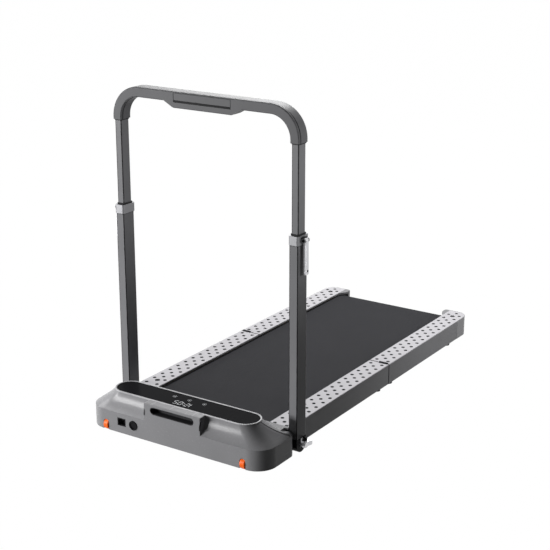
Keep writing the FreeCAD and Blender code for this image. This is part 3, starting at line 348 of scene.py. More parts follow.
recipes = {
    "moulded_grey": ((0.200, 0.200, 0.207), 0.27, dict(grain=1100, bump=0.03, wear=grey_wear)),
    "post_paint": ((0.172, 0.172, 0.179), 0.34, dict(grain=1500, wear=grey_wear, gloss=0.07)),
    "cover_alloy": ((0.150, 0.150, 0.156), 0.42, dict(grain=1500, bump=0.14, wear=grey_wear)),
    "grip_plastic": ((0.120, 0.120, 0.125), 0.42, dict(grain=1300, bump=0.0, gloss=0.05)),
    "strip_plastic": ((0.46, 0.452, 0.474), 0.52, dict(grain=800, bump=0.15, drift=0.04, dust=0.08)),
    "black_rubber": ((0.022, 0.022, 0.023), 0.78, dict(grain=700, bump=0.35, drift=0.3, dust=0.1)),
    "dot_rubber": ((0.010, 0.010, 0.011), 0.7, dict(bump=0.25, drift=0.3, gloss=0.04)),
    "deck_wood": ((0.40, 0.28, 0.17), 0.6, dict(grain=400, bump=0.3, drift=0.25)),
    "frame_paint": ((0.035, 0.035, 0.038), 0.42, dict(grain=1400, bump=0.15, wear=(0.14, 0.14, 0.14))),
    "hinge_black": ((0.020, 0.020, 0.022), 0.5, dict(metal=0.3, grain=700, drift=0.2, gloss=0.05)),
    "steel": ((0.55, 0.55, 0.56), 0.30, dict(metal=1.0, grain=600, bump=0.05, drift=0.15)),
    "collar_silver": ((0.15, 0.15, 0.156), 0.5, dict(metal=1.0, grain=500, bump=0.06, drift=0.06)),
    "silver": ((0.52, 0.52, 0.535), 0.34, dict(metal=1.0, grain=500, bump=0.06, drift=0.06)),
    "motor_paint": ((0.09, 0.09, 0.1), 0.5, dict(bump=0.2, wear=(0.3, 0.3, 0.3))),
    "black_plastic": ((0.010, 0.010, 0.011), 0.45, dict(grain=1200, bump=0.12, drift=0.2, gloss=0.04)),
    "cup_grey": ((0.030, 0.030, 0.032), 0.5, dict(grain=1200, gloss=0.05)),
    "display_ring": ((0.36, 0.36, 0.37), 0.30, dict(bump=0.04, drift=0.06)),
    "display_gloss": ((0.010, 0.010, 0.011), 0.15, dict(grain=300, bump=0.0, drift=0.05, gloss=0.006, scuff=0.02)),
    "circuit": ((0.02, 0.16, 0.06), 0.4, dict(grain=300, bump=0.2)),
    "wheel_orange": ((0.90, 0.135, 0.014), 0.38, dict(bump=0.08, drift=0.08)),
}
finishes = {name: finish(name, colour, rough, **rest) for name, (colour, rough, rest) in recipes.items()}
print("finishes", len(finishes))

# %% [markdown]
# The top of a walking belt is a moulded weave: tiny diamonds that give grip. Two sine waves across the belt's own UV
# map, turned by 45 degrees, make the diamonds, so they follow the belt round its rollers and through the fold.
# The lit marks of the display are plain white with a little of their own light.

# %% Belt weave and lit marks
weave_rate, weave_height = 2200.0, 0.3 * mm


def weave_finish():
    """Charcoal belt with a moulded diamond weave."""
    material = finish("belt_rubber", (0.024, 0.024, 0.027), 0.66, grain=500, bump=0.0, drift=0.10, gloss=0.03)
    tree, shader = surface(material)
    place = parts_of(tree, add(tree, "ShaderNodeTexCoord")["UV"])
    slants = [maths(tree, kind, place["X"], place["Y"]) for kind in ("ADD", "SUBTRACT")]
    waves = [maths(tree, "SINE", maths(tree, "MULTIPLY", slant, weave_rate)) for slant in slants]
    relief = add(tree, "ShaderNodeBump", [("Height", maths(tree, "MULTIPLY", *waves)), ("Strength", 0.35),
                                          ("Distance", weave_height)])
    tree.links.new(relief["Normal"], shader["Normal"])
    return material


def lit_finish():
    """Plain white marks with a soft glow."""
    material = finish("lit_marks", (0.48, 0.49, 0.50), 0.5, grain=600, bump=0.0, drift=0.05)
    shader = surface(material)[1]
    shader["Emission Color"].default_value = (0.9, 0.93, 1.0, 1)
    shader["Emission Strength"].default_value = 0.16
    return material


finishes["belt_rubber"] = weave_finish()
finishes["lit_marks"] = lit_finish()
print("finishes in all", len(finishes))

# %% [markdown]
# Every new piece goes through the same few steps: a mesh in metres, one finish, then the body that carries it and,
# where it stands for a solid, the hiding of that solid.
# Modifiers are always turned into a plain mesh before that, so that what is seen is what is kept.

# %% Making and placing pieces
def place_piece(piece, body, replaced=()):
    """Give a finished piece its body, and hide the solids that it stands for."""
    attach(piece, body)
    if replaced:
        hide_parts(*replaced)
    return piece


def painted(mesh, look):
    """Mesh with one finish."""
    mesh.materials.clear()
    mesh.materials.append(finishes[look])
    return mesh


def new_object(name, mesh, look):
    """Object at the origin, with its place in its mesh."""
    return linked(name, painted(mesh, look))


def baked(piece):
    """Turn the piece's modifiers into its plain mesh."""
    bpy.context.view_layer.update()
    solid = bpy.data.meshes.new_from_object(piece.evaluated_get(bpy.context.evaluated_depsgraph_get()))
    piece.modifiers.clear()
    piece.data = solid
    return piece


def smooth_by_angle(mesh, degrees=40):
    """Smooth shading, broken at edges sharper than an angle."""
    mesh.polygons.foreach_set("use_smooth", [True] * len(mesh.polygons))
    mesh.set_sharp_from_angle(angle=math.radians(degrees))


def shaded(piece):
    """Smooth shading in which large flat faces stay flat, by normals weighted with area."""
    smooth_by_angle(piece.data)
    weighted = piece.modifiers.new("normals", "WEIGHTED_NORMAL")
    weighted.keep_sharp = True
    return baked(piece)


def soften(piece, radius, segments=2, angle=32.0):
    """Round the sharp edges of a piece with a Bevel modifier and keep the result."""
    bevel = piece.modifiers.new("edges", "BEVEL")
    bevel.width = radius
    bevel.segments = segments
    bevel.limit_method = "ANGLE"
    bevel.angle_limit = math.radians(angle)
    bevel.use_clamp_overlap = True
    bevel.miter_outer = "MITER_ARC"
    return shaded(baked(piece))


def skinned(name, rings, closed_run=False):
    """Closed mesh through rings of points, with flat ends unless the run of rings closes on itself."""
    count = len(rings[0])
    points = [tuple(point) for ring in rings for point in ring]
    spans = len(rings) if closed_run else len(rings) - 1
    faces = []
    for i in range(spans):
        a, b = i * count, (i + 1) % len(rings) * count
        faces += [(a + k, a + (k + 1) % count, b + (k + 1) % count, b + k) for k in range(count)]
    if not closed_run:
        faces += [tuple(range(count - 1, -1, -1)), tuple(range(len(points) - count, len(points)))]
    mesh = bpy.data.meshes.new(name)
    mesh.from_pydata(points, [], faces)
    work = bmesh.new()
    work.from_mesh(mesh)
    bmesh.ops.recalc_face_normals(work, faces=work.faces)
    work.to_mesh(mesh)
    work.free()
    return mesh


def joined(name, meshes):
    """One mesh from several."""
    work = bmesh.new()
    for mesh in meshes:
        work.from_mesh(mesh)
    mesh = bpy.data.meshes.new(name)
    work.to_mesh(mesh)
    work.free()
    return mesh


def joined_piece(name, meshes, look, body, radius=None):
    """Several meshes as one placed piece in one finish, soft where a radius is given."""
    piece = new_object(name, joined(name, meshes), look)
    place_piece(soften(piece, radius) if radius else piece, body)


def block(name, x, y, z):
    """Plain box mesh between pairs of limits."""
    ring = [(x[0], y[0]), (x[1], y[0]), (x[1], y[1]), (x[0], y[1])]
    return skinned(name, [[(px, py, pz) for px, py in ring] for pz in z])


print("piece helpers ready")

# %% [markdown]
# A moulded or cast edge is never razor sharp: it catches a thin line of light.
# Each visible solid is copied, its loose triangles are merged, flat regions become single faces, and a Bevel
# modifier rounds every sharp edge by the radius that its maker would give it. The copy then stands for the solid.
# The walking belt, the posts and the tube between them are left out here, because they get meshes of their own.
# A few solids get a finish of their own in place of the one that their slot names.

# %% Rounded copies of the solids
own_finish = {"front_hinge_blocks": "hinge_black", "rear_hinge_blocks": "hinge_black", "hinge_pins": "hinge_black",
              "clamp_collars": "collar_silver", "carry_handle_cup": "cup_grey"}
edge_radii_mm = {
    "head_cover": 1.2, "tail_cap": 2.4, "side_cover": 1.2, "foot_strip": 0.8, "handlebar": 1.1, "tablet_rest": 0.9,
    "clamp_collars": 0.9, "clamp_lever": 1.4, "lock_lever": 4.0, "display_ring": 1.0, "display_lens": 0.5,
    "transport_wheel": 0.8, "carry_handle_cup": 0.5, "power_inlet": 0.7, "switch": 0.5, "feet": 1.2,
    "hinge_blocks": 0.6, "pivot_bolts": 0.8, "head_base_pan": 0.8,
}
remade = {"front_belt_span", "rear_belt_span", "lower_post_left", "lower_post_right", "upper_tube"}


def rounded_copy(node, radius, look):
    """Copy of a solid with softened edges, in place of the solid."""
    work = bmesh.new()
    work.from_mesh(nodes[node].data)
    bmesh.ops.remove_doubles(work, verts=work.verts, dist=2e-6)
    bmesh.ops.dissolve_limit(work, angle_limit=math.radians(0.4), verts=work.verts, edges=work.edges)
    mesh = bpy.data.meshes.new("soft_" + node)
    work.to_mesh(mesh)
    work.free()
    place_piece(soften(new_object("soft_" + node, mesh, look), radius), body_of[node], [node])


softened = 0
for node in sorted(set(nodes) - remade):
    look = own_finish.get(node, slot_of[node])
    radius = next((r * mm for key, r in edge_radii_mm.items() if key in node), None)
    if radius:
        rounded_copy(node, radius, look)
        softened += 1
    else:
        painted(nodes[node].data, look)
print("softened", softened, "of", len(nodes))

# %% [markdown]
# The walking belt is one endless loop of coated fabric round both rollers. The solids hold it as two rigid spans,
# but the real one runs on across the fold, so it is made here as a single loop: a path of stations round the
# rollers, each with a flat cross section. The UV map runs along the loop in metres and carries the weave.

# %% Walking belt
front_belt, rear_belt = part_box("front_belt_span"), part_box("rear_belt_span")
fold_y = (front_belt[1][1] + rear_belt[0][1]) / 2
belt_half, belt_top = front_belt[1][0], front_belt[1][2]
belt_thickness = 1.8 * mm
belt_radius, belt_level = half_size(front_belt, 2), middle(front_belt, 2)
drive_y, tail_y = front_belt[0][1] + belt_radius, rear_belt[1][1] - belt_radius
fold_reach = 30 * mm


def half_turn(y, sense):
    """Stations round one roller."""
    turns = [math.pi * k / 12 for k in range(1, 12)]
    return [((y, belt_level), (sense * math.sin(turn), sense * math.cos(turn))) for turn in turns]


def belt_stations():
    """Points and outward directions round the loop, closer together at the fold."""
    steps = sorted({round(drive_y + (tail_y - drive_y) * k / 48, 5) for k in range(49)}
                   | {round(fold_y + fold_reach * k / 12, 5) for k in range(-16, 17)})
    above = [((y, belt_level), (0.0, 1.0)) for y in steps]
    below = [((y, belt_level), (0.0, -1.0)) for y in reversed(steps)]
    return above + half_turn(tail_y, 1) + below + half_turn(drive_y, -1)


def belt_section(centre, outward):
    """Cross section of the belt: flat, with rounded edges."""
    outer, inner = belt_radius, belt_radius - belt_thickness
    edge = belt_thickness * 0.35
    outline = [(-belt_half + edge, outer), (-belt_half / 2, outer), (0.0, outer), (belt_half / 2, outer),
               (belt_half - edge, outer), (belt_half, outer - edge), (belt_half, inner + edge),
               (belt_half - edge, inner), (-belt_half + edge, inner), (-belt_half, inner + edge),
               (-belt_half, outer - edge)]
    return [(x, centre[0] + outward[0] * r, centre[1] + outward[1] * r) for x, r in outline]


def outer_point(station):
    """Point on the outside of the belt, as Y and Z."""
    centre, outward = station
    return Vector((centre[0] + outward[0] * belt_radius, centre[1] + outward[1] * belt_radius))


stations = belt_stations()
belt_mesh = skinned("walking_belt", [belt_section(*station) for station in stations], closed_run=True)
ring_size = len(belt_section(*stations[0]))
run = [0.0]
for here, there in zip(stations, stations[1:] + stations[:1]):
    run.append(run[-1] + (outer_point(there) - outer_point(here)).length)
layer = belt_mesh.uv_layers.new(name="belt_run")
for polygon in belt_mesh.polygons:
    rings_here = [belt_mesh.loops[i].vertex_index // ring_size for i in polygon.loop_indices]
    wraps = max(rings_here) - min(rings_here) > 1
    for i, ring in zip(polygon.loop_indices, rings_here):
        along = run[-1] if wraps and ring == 0 else run[ring]
        layer.data[i].uv = (belt_mesh.vertices[belt_mesh.loops[i].vertex_index].co.x, along)
belt = new_object("walking_belt", belt_mesh, "belt_rubber")
smooth_by_angle(belt.data)
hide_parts("front_belt_span", "rear_belt_span")
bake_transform(belt)
print("belt loop", round(run[-1], 3), "m, fold at", round(fold_y, 4))

# %% [markdown]
# A post is a rolled steel section. Its two front corners are stepped in, and a black strip in each step paints the
# shade of a groove, so a thin dark line runs down both corners. The section is drawn once as an outline with rounded
# rear corners, and the same outline serves the lower posts, which end in a round foot about their pivot, and the bent
# upper tube.

# %% Posts
corner_step, shade_strip_sunk = 2.2 * mm, 0.3 * mm


def post_outline(half_x, half_y, rounding):
    """Section of a post, counterclockwise from the front: stepped front corners and rounded rear ones."""
    in_x, in_y = half_x - corner_step, -half_y + corner_step
    points = [(-in_x, -half_y), (in_x, -half_y), (in_x, in_y), (half_x, in_y)]
    for side in (1, -1):
        for k in range(4):
            turn = math.pi / 2 * (k / 3 if side == 1 else 1 + k / 3)
            points.append((side * (half_x - rounding) + rounding * math.cos(turn),
                           half_y - rounding + rounding * math.sin(turn)))
    return points + [(-half_x, in_y), (-in_x, in_y)]


def shade_strip_outlines(half_x, half_y):
    """Small squares in the two corner steps, a little below the faces beside them: painted shade of a groove down
    each corner.
    """
    outer_x, inner_x = half_x - shade_strip_sunk, half_x - corner_step
    front_y, rear_y = -half_y + shade_strip_sunk, -half_y + corner_step
    return [[(side * outer_x, front_y), (side * outer_x, rear_y), (side * inner_x, rear_y), (side * inner_x, front_y)]
            for side in (1, -1)]


def foot_levels(pivot_z, radius, top):
    """Heights up a lower post and the share of its depth there, so that its foot is round about the pivot."""
    turns = [math.radians(82 - 82 * k / 8) for k in range(9)]
    return [(pivot_z - radius * math.sin(turn), math.cos(turn)) for turn in turns] + [(top, 1.0)]


def post_mesh(name, node, outline):
    """Outline drawn up a lower post from its round foot."""
    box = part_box(node)
    middle_x, middle_y, depth = middle(box, 0), middle(box, 1), half_size(box, 1)
    return skinned(name, [[(middle_x + x, middle_y + y * share, z) for x, y in outline]
                          for z, share in foot_levels(box[0][2] + depth, depth, box[1][2])])


post_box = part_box("lower_post_right")
lower_half = (half_size(post_box, 0), half_size(post_box, 1))
shade_strips = []
for side in ("left", "right"):
    node = "lower_post_" + side
    mesh = post_mesh("post_" + side, node, post_outline(*lower_half, rounding=4 * mm))
    post = soften(new_object("post_" + side, mesh, "post_paint"), 0.5 * mm, segments=1)
    place_piece(post, "lower_posts", [node])
    shade_strips += [post_mesh("trim", node, outline) for outline in shade_strip_outlines(*lower_half)]
# The black corner strips are painted shade of a groove down each front corner.
joined_piece("post_corner_shade", shade_strips, "black_plastic", "lower_posts")
print("posts", [round(v * 2000, 1) for v in lower_half], "mm")

# %% [markdown]
# The upper tube is one length of the same kind of section, bent twice into a U. A path of stations goes up one leg,
# round the bend, across and down again; at each station the outline is turned to stand square to the path.

# %% Upper tube
tube_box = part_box("upper_tube")
tube_width = 22 * mm
tube_half = (tube_width / 2, half_size(tube_box, 1))
leg_x = tube_box[1][0] - tube_width / 2
bend_radius = 80 * mm
tube_y = middle(tube_box, 1)
bar_z = tube_box[1][2] - tube_width / 2


def tube_path(base):
    """Stations of the U from a height: place, and the direction across the tube in the plane of the U."""
    stations = [((-leg_x, base), (-1.0, 0.0))]
    for side in (-1, 1):
        for k in range(11):
            turn = math.pi / 2 * (k / 10 if side == -1 else 1 - k / 10)
            out = (side * math.cos(turn), math.sin(turn))
            centre = (side * (leg_x - bend_radius), bar_z - bend_radius)
            stations.append(((centre[0] + out[0] * bend_radius, centre[1] + out[1] * bend_radius), out))
    return stations + [((leg_x, base), (1.0, 0.0))]


def swept_tube(name, outline, base=tube_box[0][2]):
    """Outline carried along the U: its X becomes the direction across, its Y stays along the pad."""
    return skinned(name, [[(place[0] - out[0] * x, tube_y + y, place[1] - out[1] * x) for x, y in outline]
                          for place, out in tube_path(base)])


tube_mesh = swept_tube("bent_tube", post_outline(*tube_half, rounding=3 * mm))
tube = soften(new_object("bent_tube", tube_mesh, "post_paint"), 0.4 * mm, segments=1)
place_piece(tube, "handrail", ["upper_tube"])
# The tube gets the same black corner strips: painted shade of a groove down each front corner.
tube_shade_strips = [swept_tube("trim", outline) for outline in shade_strip_outlines(*tube_half)]
joined_piece("tube_corner_shade", tube_shade_strips, "black_plastic", "handrail")
print("tube legs at", round(leg_x, 4), "bar at", round(bar_z, 4))

# %% [markdown]
# The foot strips carry staggered rows of rubber dots, and one larger screw each. Both repeat, so Geometry Nodes make
# them: a line of points for each row, mirrored to the other strip, with a low cone on every point.
# The tree's inputs are the pitch, the row spacing, the counts and the size of a dot, and points too near the screw
# are deleted. One mesh per half of the deck is kept, because the halves move apart.

# %% Rubber dots
def geometry_tree(name, inputs):
    """Empty geometry tree with named inputs and a finish."""
    return node_group(name, "GeometryNodeTree", [*inputs, ("Finish", "Material", None)], [("Geometry", "Geometry")])


def set_on_points(tree, points, instance, material, result):
    """Real copies of a shape on points, in one material, as the result of a tree."""
    placed = add(tree, "GeometryNodeInstanceOnPoints", [("Points", points), ("Instance", instance)])
    real = add(tree, "GeometryNodeRealizeInstances", [("Geometry", placed[0])])
    coated = add(tree, "GeometryNodeSetMaterial", [("Geometry", real[0]), ("Material", material)])
    tree.links.new(coated[0], result[0])


def run_tree(name, tree, look, points=(), **values):
    """Plain mesh that a tree makes from these values and, where it takes them, points."""
    carrier = linked(name, bpy.data.meshes.new(name))
    carrier.data.from_pydata(points, [], [])
    modifier = carrier.modifiers.new("nodes", "NODES")
    modifier.node_group = tree
    sockets = {item.name: item.identifier for item in tree.interface.items_tree
               if item.item_type == "SOCKET" and item.in_out == "INPUT"}
    modifier[sockets["Finish"]] = finishes[look]
    for label, value in values.items():
        modifier[sockets[label.replace("_", " ").capitalize()]] = value
    return baked(carrier)


def make_dot_rows():
    """Three staggered rows of low cones on both strips of one half."""
    tree, given, result = geometry_tree("dot_rows", (
        ("Fold", "Float", fold_y), ("Direction", "Float", 1.0), ("Pitch", "Float", 0.04),
        ("Row spacing", "Float", 0.02), ("Strip middle", "Float", 0.25), ("Top", "Float", 0.083),
        ("Middle count", "Int", 14), ("Inner count", "Int", 14), ("Outer count", "Int", 14), ("Screw", "Float", 0.5),
        ("Radius", "Float", 0.005), ("Rise", "Float", 0.0016)))
    step = maths(tree, "MULTIPLY", given["Pitch"], given["Direction"])
    stride = add(tree, "ShaderNodeCombineXYZ", [("Y", step)])[0]
    rows = []
    for count, shift, start in (("Inner count", -1.0, 0.5), ("Middle count", 0.0, 1.0), ("Outer count", 1.0, 0.5)):
        across = maths(tree, "ADD", given["Strip middle"], maths(tree, "MULTIPLY", given["Row spacing"], shift))
        first = maths(tree, "ADD", given["Fold"], maths(tree, "MULTIPLY", step, start))
        begin = add(tree, "ShaderNodeCombineXYZ", [("X", across), ("Y", first), ("Z", given["Top"])])[0]
        row = add(tree, "GeometryNodeMeshLine", [("Count", given[count]), ("Start Location", begin),
                                                 ("Offset", stride)], mode="OFFSET")[0]
        if shift == 0.0:
            place_y = parts_of(tree, add(tree, "GeometryNodeInputPosition")[0])["Y"]
            away = maths(tree, "ABSOLUTE", maths(tree, "SUBTRACT", place_y, given["Screw"]))
            near = maths(tree, "LESS_THAN", away, maths(tree, "MULTIPLY", given["Pitch"], 0.5))
            row = add(tree, "GeometryNodeDeleteGeometry", [("Geometry", row), ("Selection", near)],
                      domain="POINT")[0]
        rows.append(row)
    lines = add(tree, "GeometryNodeJoinGeometry", [(0, row) for row in rows])[0]
    mirrored = add(tree, "GeometryNodeTransform", [("Geometry", lines), ("Scale", (-1.0, 1.0, 1.0))])[0]
    both = add(tree, "GeometryNodeJoinGeometry", [(0, lines), (0, mirrored)])[0]
    dot = add(tree, "GeometryNodeMeshCone", [
        ("Vertices", 16), ("Radius Bottom", given["Radius"]), ("Depth", given["Rise"]),
        ("Radius Top", maths(tree, "MULTIPLY", given["Radius"], 0.8))])
    sunk = add(tree, "ShaderNodeCombineXYZ", [("Z", maths(tree, "MULTIPLY", given["Rise"], -0.75))])
    seated = add(tree, "GeometryNodeTransform", [("Geometry", dot["Mesh"]), ("Translation", sunk[0])])
    set_on_points(tree, both, seated[0], given["Finish"], result)
    return tree


dot_rows = make_dot_rows()
dot_pitch, row_spacing, strip_middle = 40.7 * mm, 20.6 * mm, 256 * mm
dot_radius, dot_rise, dot_faces = 6.9 * mm, 1.8 * mm, 18
strip_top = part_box("front_foot_strip_right")[1][2]
halves = {"front": -1.0, "rear": 1.0}
dot_counts = {"front": (15, 14, 15), "rear": (14, 14, 14)}
screw_y = {"front": fold_y - 520.5 * mm, "rear": fold_y + 537 * mm}
for half, direction in halves.items():
    inner, central, outer = dot_counts[half]
    dots = run_tree(half + "_strip_dots", dot_rows, "dot_rubber", fold=fold_y, direction=direction, pitch=dot_pitch,
                    row_spacing=row_spacing, strip_middle=strip_middle, top=strip_top, inner_count=inner,
                    middle_count=central, outer_count=outer, screw=screw_y[half], radius=dot_radius, rise=dot_rise)
    place_piece(dots, half + "_deck")
    print(half, "dots", len(dots.data.polygons) // dot_faces)

# %% [markdown]
# Screws also repeat: a low round head with a socket sunk into it, set on every point of a list.
# The tree takes the points as a small mesh, so the same tree serves the strips, the clamps and the levers.
# A direction input says which way the heads look.

# %% Screws
def make_screws():
    """Socket heads on the points of a mesh."""
    tree, given, result = geometry_tree("screws", (
        ("Points", "Geometry", None), ("Radius", "Float", 0.004), ("Rise", "Float", 0.001), ("Turn", "Vector", None)))
    head = add(tree, "GeometryNodeMeshCylinder", [("Vertices", 18), ("Radius", given["Radius"]),
                                                  ("Depth", given["Rise"])])
    rim = add(tree, "GeometryNodeExtrudeMesh", [("Mesh", head["Mesh"]), ("Selection", head["Top"]),
                                                ("Offset Scale", 0.0)])
    shrunk = add(tree, "GeometryNodeScaleElements", [("Geometry", rim["Mesh"]), ("Selection", rim["Top"]),
                                                     ("Scale", 0.5)])
    socket = add(tree, "GeometryNodeExtrudeMesh", [
        ("Mesh", shrunk[0]), ("Selection", rim["Top"]),
        ("Offset Scale", maths(tree, "MULTIPLY", given["Rise"], -0.7))])
    turned = add(tree, "GeometryNodeTransform", [("Geometry", socket["Mesh"]), ("Rotation", given["Turn"])])
    set_on_points(tree, given["Points"], turned[0], given["Finish"], result)
    return tree


screw_tree = make_screws()


def screws(name, points, body, radius, rise, turn=(0.0, 0.0, 0.0)):
    """Black screw heads of one kind on one body."""
    heads = run_tree(name, screw_tree, "black_plastic", points, radius=radius, rise=rise, turn=turn)
    place_piece(heads, body)


for half, y in screw_y.items():
    spots = [(side * strip_middle, y, strip_top - 0.9 * mm) for side in (-1, 1)]
    screws(half + "_strip_screws", spots, half + "_deck", radius=8.2 * mm, rise=1.6 * mm)
print("strip screws set")

# %% [markdown]
# The display lies under the dark lens: four plain digits made of seven bars each, with a colon, and three small
# touch marks behind them. They face the walker, so from the front they stand on their heads.
# Real ones are lit from below through a thin window, so each bar is a thin plate just proud of the lens with a soft
# white glow.

# %% Display marks
lens_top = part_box("display_lens")[1][2]
mark_levels = (lens_top - 0.3 * mm, lens_top + 0.12 * mm)
bar_lists = {"1": "bc", "2": "abged", "5": "afgcd", "0": "abcdef"}
digit_width, digit_height, bar_width = 11 * mm, 21 * mm, 1.7 * mm
digit_y, digit_places = -628 * mm, (("5", -27 * mm), ("0", -10 * mm), ("2", 14 * mm), ("1", 31 * mm))
colon_x, colon_reach, colon_radius = 2 * mm, 5 * mm, 1.5 * mm
touch_y, touch_places, touch_radius, touch_dots = -596 * mm, (-54 * mm, 0.0, 54 * mm), 5.5 * mm, 10


def flat_plate(outline):
    """Thin plate with this outline, just proud of the lens."""
    return skinned("plate", [[(x, y, z) for x, y in outline] for z in mark_levels])


def bar_plate(x, y, length, upright):
    """One bar of a digit: a long hexagon about a point."""
    long, wide = length / 2, bar_width / 2
    outline = [(-long, 0.0), (-long + wide, -wide), (long - wide, -wide), (long, 0.0), (long - wide, wide),
               (-long + wide, wide)]
    if upright:
        outline = [(-v, u) for u, v in outline]
    return flat_plate([(x + u, y + v) for u, v in outline])


def digit_plates(character, x, y):
    """The bars of one digit whose middle is at a point."""
    half = digit_height / 4
    across, up = digit_width - bar_width, digit_height / 2 - bar_width * 0.5
    spots = {"a": (0, 2 * half, 0), "g": (0, 0, 0), "d": (0, -2 * half, 0), "b": (digit_width / 2, half, 1),
             "c": (digit_width / 2, -half, 1), "f": (-digit_width / 2, half, 1), "e": (-digit_width / 2, -half, 1)}
    return [bar_plate(x - spots[b][0], y - spots[b][1], up if spots[b][2] else across, spots[b][2])
            for b in bar_lists[character]]


def ring_of_points(x, y, radius, count):
    """Points evenly round a circle."""
    turns = [2 * math.pi * k / count for k in range(count)]
    return [(x + radius * math.cos(t), y + radius * math.sin(t)) for t in turns]


def round_plate(x, y, radius, sides=16):
    """Small round mark."""
    return flat_plate(ring_of_points(x, y, radius, sides))


def touch_mark(x, y):
    """A ring of small dots round a larger one."""
    spots = ring_of_points(x, y, touch_radius, touch_dots)
    return [round_plate(x, y, touch_radius * 0.3, sides=8)] + [
        round_plate(*spot, touch_radius * 0.16, sides=6) for spot in spots]


marks = []
for character, x in digit_places:
    marks += digit_plates(character, x, digit_y)
marks += [round_plate(colon_x, digit_y + shift, colon_radius) for shift in (-colon_reach, colon_reach)]
for x in touch_places:
    marks += touch_mark(x, touch_y)
joined_piece("display_marks", marks, "lit_marks", "front_deck")
print("display marks", len(marks))

# %% [markdown]
# The handlebar is two moulded shells over the bent tube. A dark gasket lies just under the joint between them, and a
# line in the finish shows the joint. Where the shells end, a rubber seal closes the gap round each leg.
# The gasket is the same sweep as the tube with a thin section; a seal is a small rectangular frame.
# Black plates round the tablet rest's flap paint the shade of the finger slot below it and of the gaps at its two
# ends.

# %% Handlebar gasket and seals
front_shell, rear_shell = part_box("handlebar_front_cover"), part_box("handlebar_rear_cover")
shell_half = (front_shell[1][0] - leg_x) - 0.05 * mm
parting = (front_shell[1][1] + rear_shell[0][1]) / 2 - tube_y
gasket_half = 2.0 * mm
gasket_outline = [(-shell_half, parting - gasket_half), (shell_half, parting - gasket_half),
                  (shell_half, parting + gasket_half), (-shell_half, parting + gasket_half)]
sleeve_end = front_shell[0][2]
gasket = new_object("handlebar_gasket", swept_tube("handlebar_gasket", gasket_outline, sleeve_end + 1 * mm),
                    "black_rubber")
place_piece(shaded(gasket), "handrail")


def draw_parting(material, plane_y, half):
    """Dark shadow line in a finish, where Y is near the plane between the two shells."""
    tree, shader = surface(material)
    colour = shader["Base Color"]
    apart = maths(tree, "ABSOLUTE", maths(tree, "SUBTRACT", parts_of(tree, object_place(tree))["Y"], plane_y))
    near = ranged(tree, apart, half, half * 1.3, 1.0, 0.0)
    tree.links.new(mixed(tree, near, colour.links[0].from_socket, (0.012, 0.012, 0.013)), colour)


def polish_top(material, rough, gloss):
    """Another roughness and gloss where a surface faces up, as palms leave a handlebar."""
    tree, shader = surface(material)
    facing = parts_of(tree, add(tree, "ShaderNodeTexCoord")["Normal"])["Z"]
    for label, polished in (("Roughness", rough), ("Specular IOR Level", gloss)):
        feeds = shader[label].links
        plain = feeds[0].from_socket if feeds else shader[label].default_value
        tree.links.new(ranged(tree, facing, 0.55, 0.95, plain, polished), shader[label])


draw_parting(finishes["grip_plastic"], parting + tube_y, gasket_half)
polish_top(finishes["grip_plastic"], 0.54, 0.24)


def frame_ring(centre, half_x, half_y, wall, z):
    """Rectangular frame with rounded corners round a post."""
    rounding, rings = 4 * mm, []
    for k in range(16):
        turn = math.pi / 2 * (k // 4) + math.pi / 6 * (k % 4)
        side_x = 1 if k // 4 in (0, 3) else -1
        side_y = 1 if k // 4 in (0, 1) else -1
        section = []
        for grow, level in ((0.0, z[0]), (wall, z[0]), (wall, z[1]), (0.0, z[1])):
            section.append((centre[0] + side_x * (half_x - rounding) + (rounding + grow) * math.cos(turn),
                            centre[1] + side_y * (half_y - rounding) + (rounding + grow) * math.sin(turn), level))
        rings.append(section)
    return skinned("ring", rings, closed_run=True)


def post_rings(name, body, halves_inside, z, gap, wall, radius=0.5 * mm):
    """A pair of rubber frames round both legs, with a gap inside them."""
    inside = [size + gap for size in halves_inside]
    rings = [frame_ring((side * leg_x, tube_y), *inside, wall, z) for side in (-1, 1)]
    joined_piece(name, rings, "black_rubber", body, radius)


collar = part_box("clamp_collars")
collar_base, collar_top = collar[0][2], collar[1][2]
post_rings("sleeve_seals", "handrail", tube_half, (sleeve_end - 3.2 * mm, sleeve_end - 0.2 * mm), gap=0.05 * mm,
           wall=3.0 * mm)
post_rings("collar_seals", "lower_posts", tube_half, (collar_top + 0.1 * mm, collar_top + 4.2 * mm), gap=0.3 * mm,
           wall=3.6 * mm)
post_rings("collar_gaps", "lower_posts", lower_half, (collar_base - 2.2 * mm, collar_base - 0.2 * mm), gap=0.05 * mm,
           wall=0.6 * mm, radius=None)

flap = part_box("tablet_rest")
flap_half, flap_slot = 98.5 * mm, 6.5 * mm
edge_inner, edge_outer = flap_half + 0.2 * mm, flap_half + 1.6 * mm
face_y = front_shell[0][1] - 0.12 * mm
edge_y = (face_y, face_y + 2 * mm)
# Black plates just proud of the front shell: painted shade of the finger slot and of the end gaps.
slot_shade = [block("edge", (-flap_half, flap_half), edge_y, (flap[0][2] - flap_slot, flap[0][2] - 0.3 * mm))]
for side in (-1, 1):
    slot_shade.append(block("edge", sorted((side * edge_inner, side * edge_outer)), edge_y,
                          (flap[0][2] - flap_slot, flap[1][2])))
joined_piece("flap_slot_shade", slot_shade, "black_plastic", "handrail")
print("gasket at", round(parting + tube_y, 4), "seals at", round(sleeve_end, 4), round(collar_top, 4))

# %% [markdown]
# Each clamp has a bolt head on its pin and a curved black guard over the cam, so that fingers don't reach under it.
# The guard is an arc of sections about the pin, fixed to the collar while the lever turns below it.
# A black plug closes the hole in each lever's outer face.

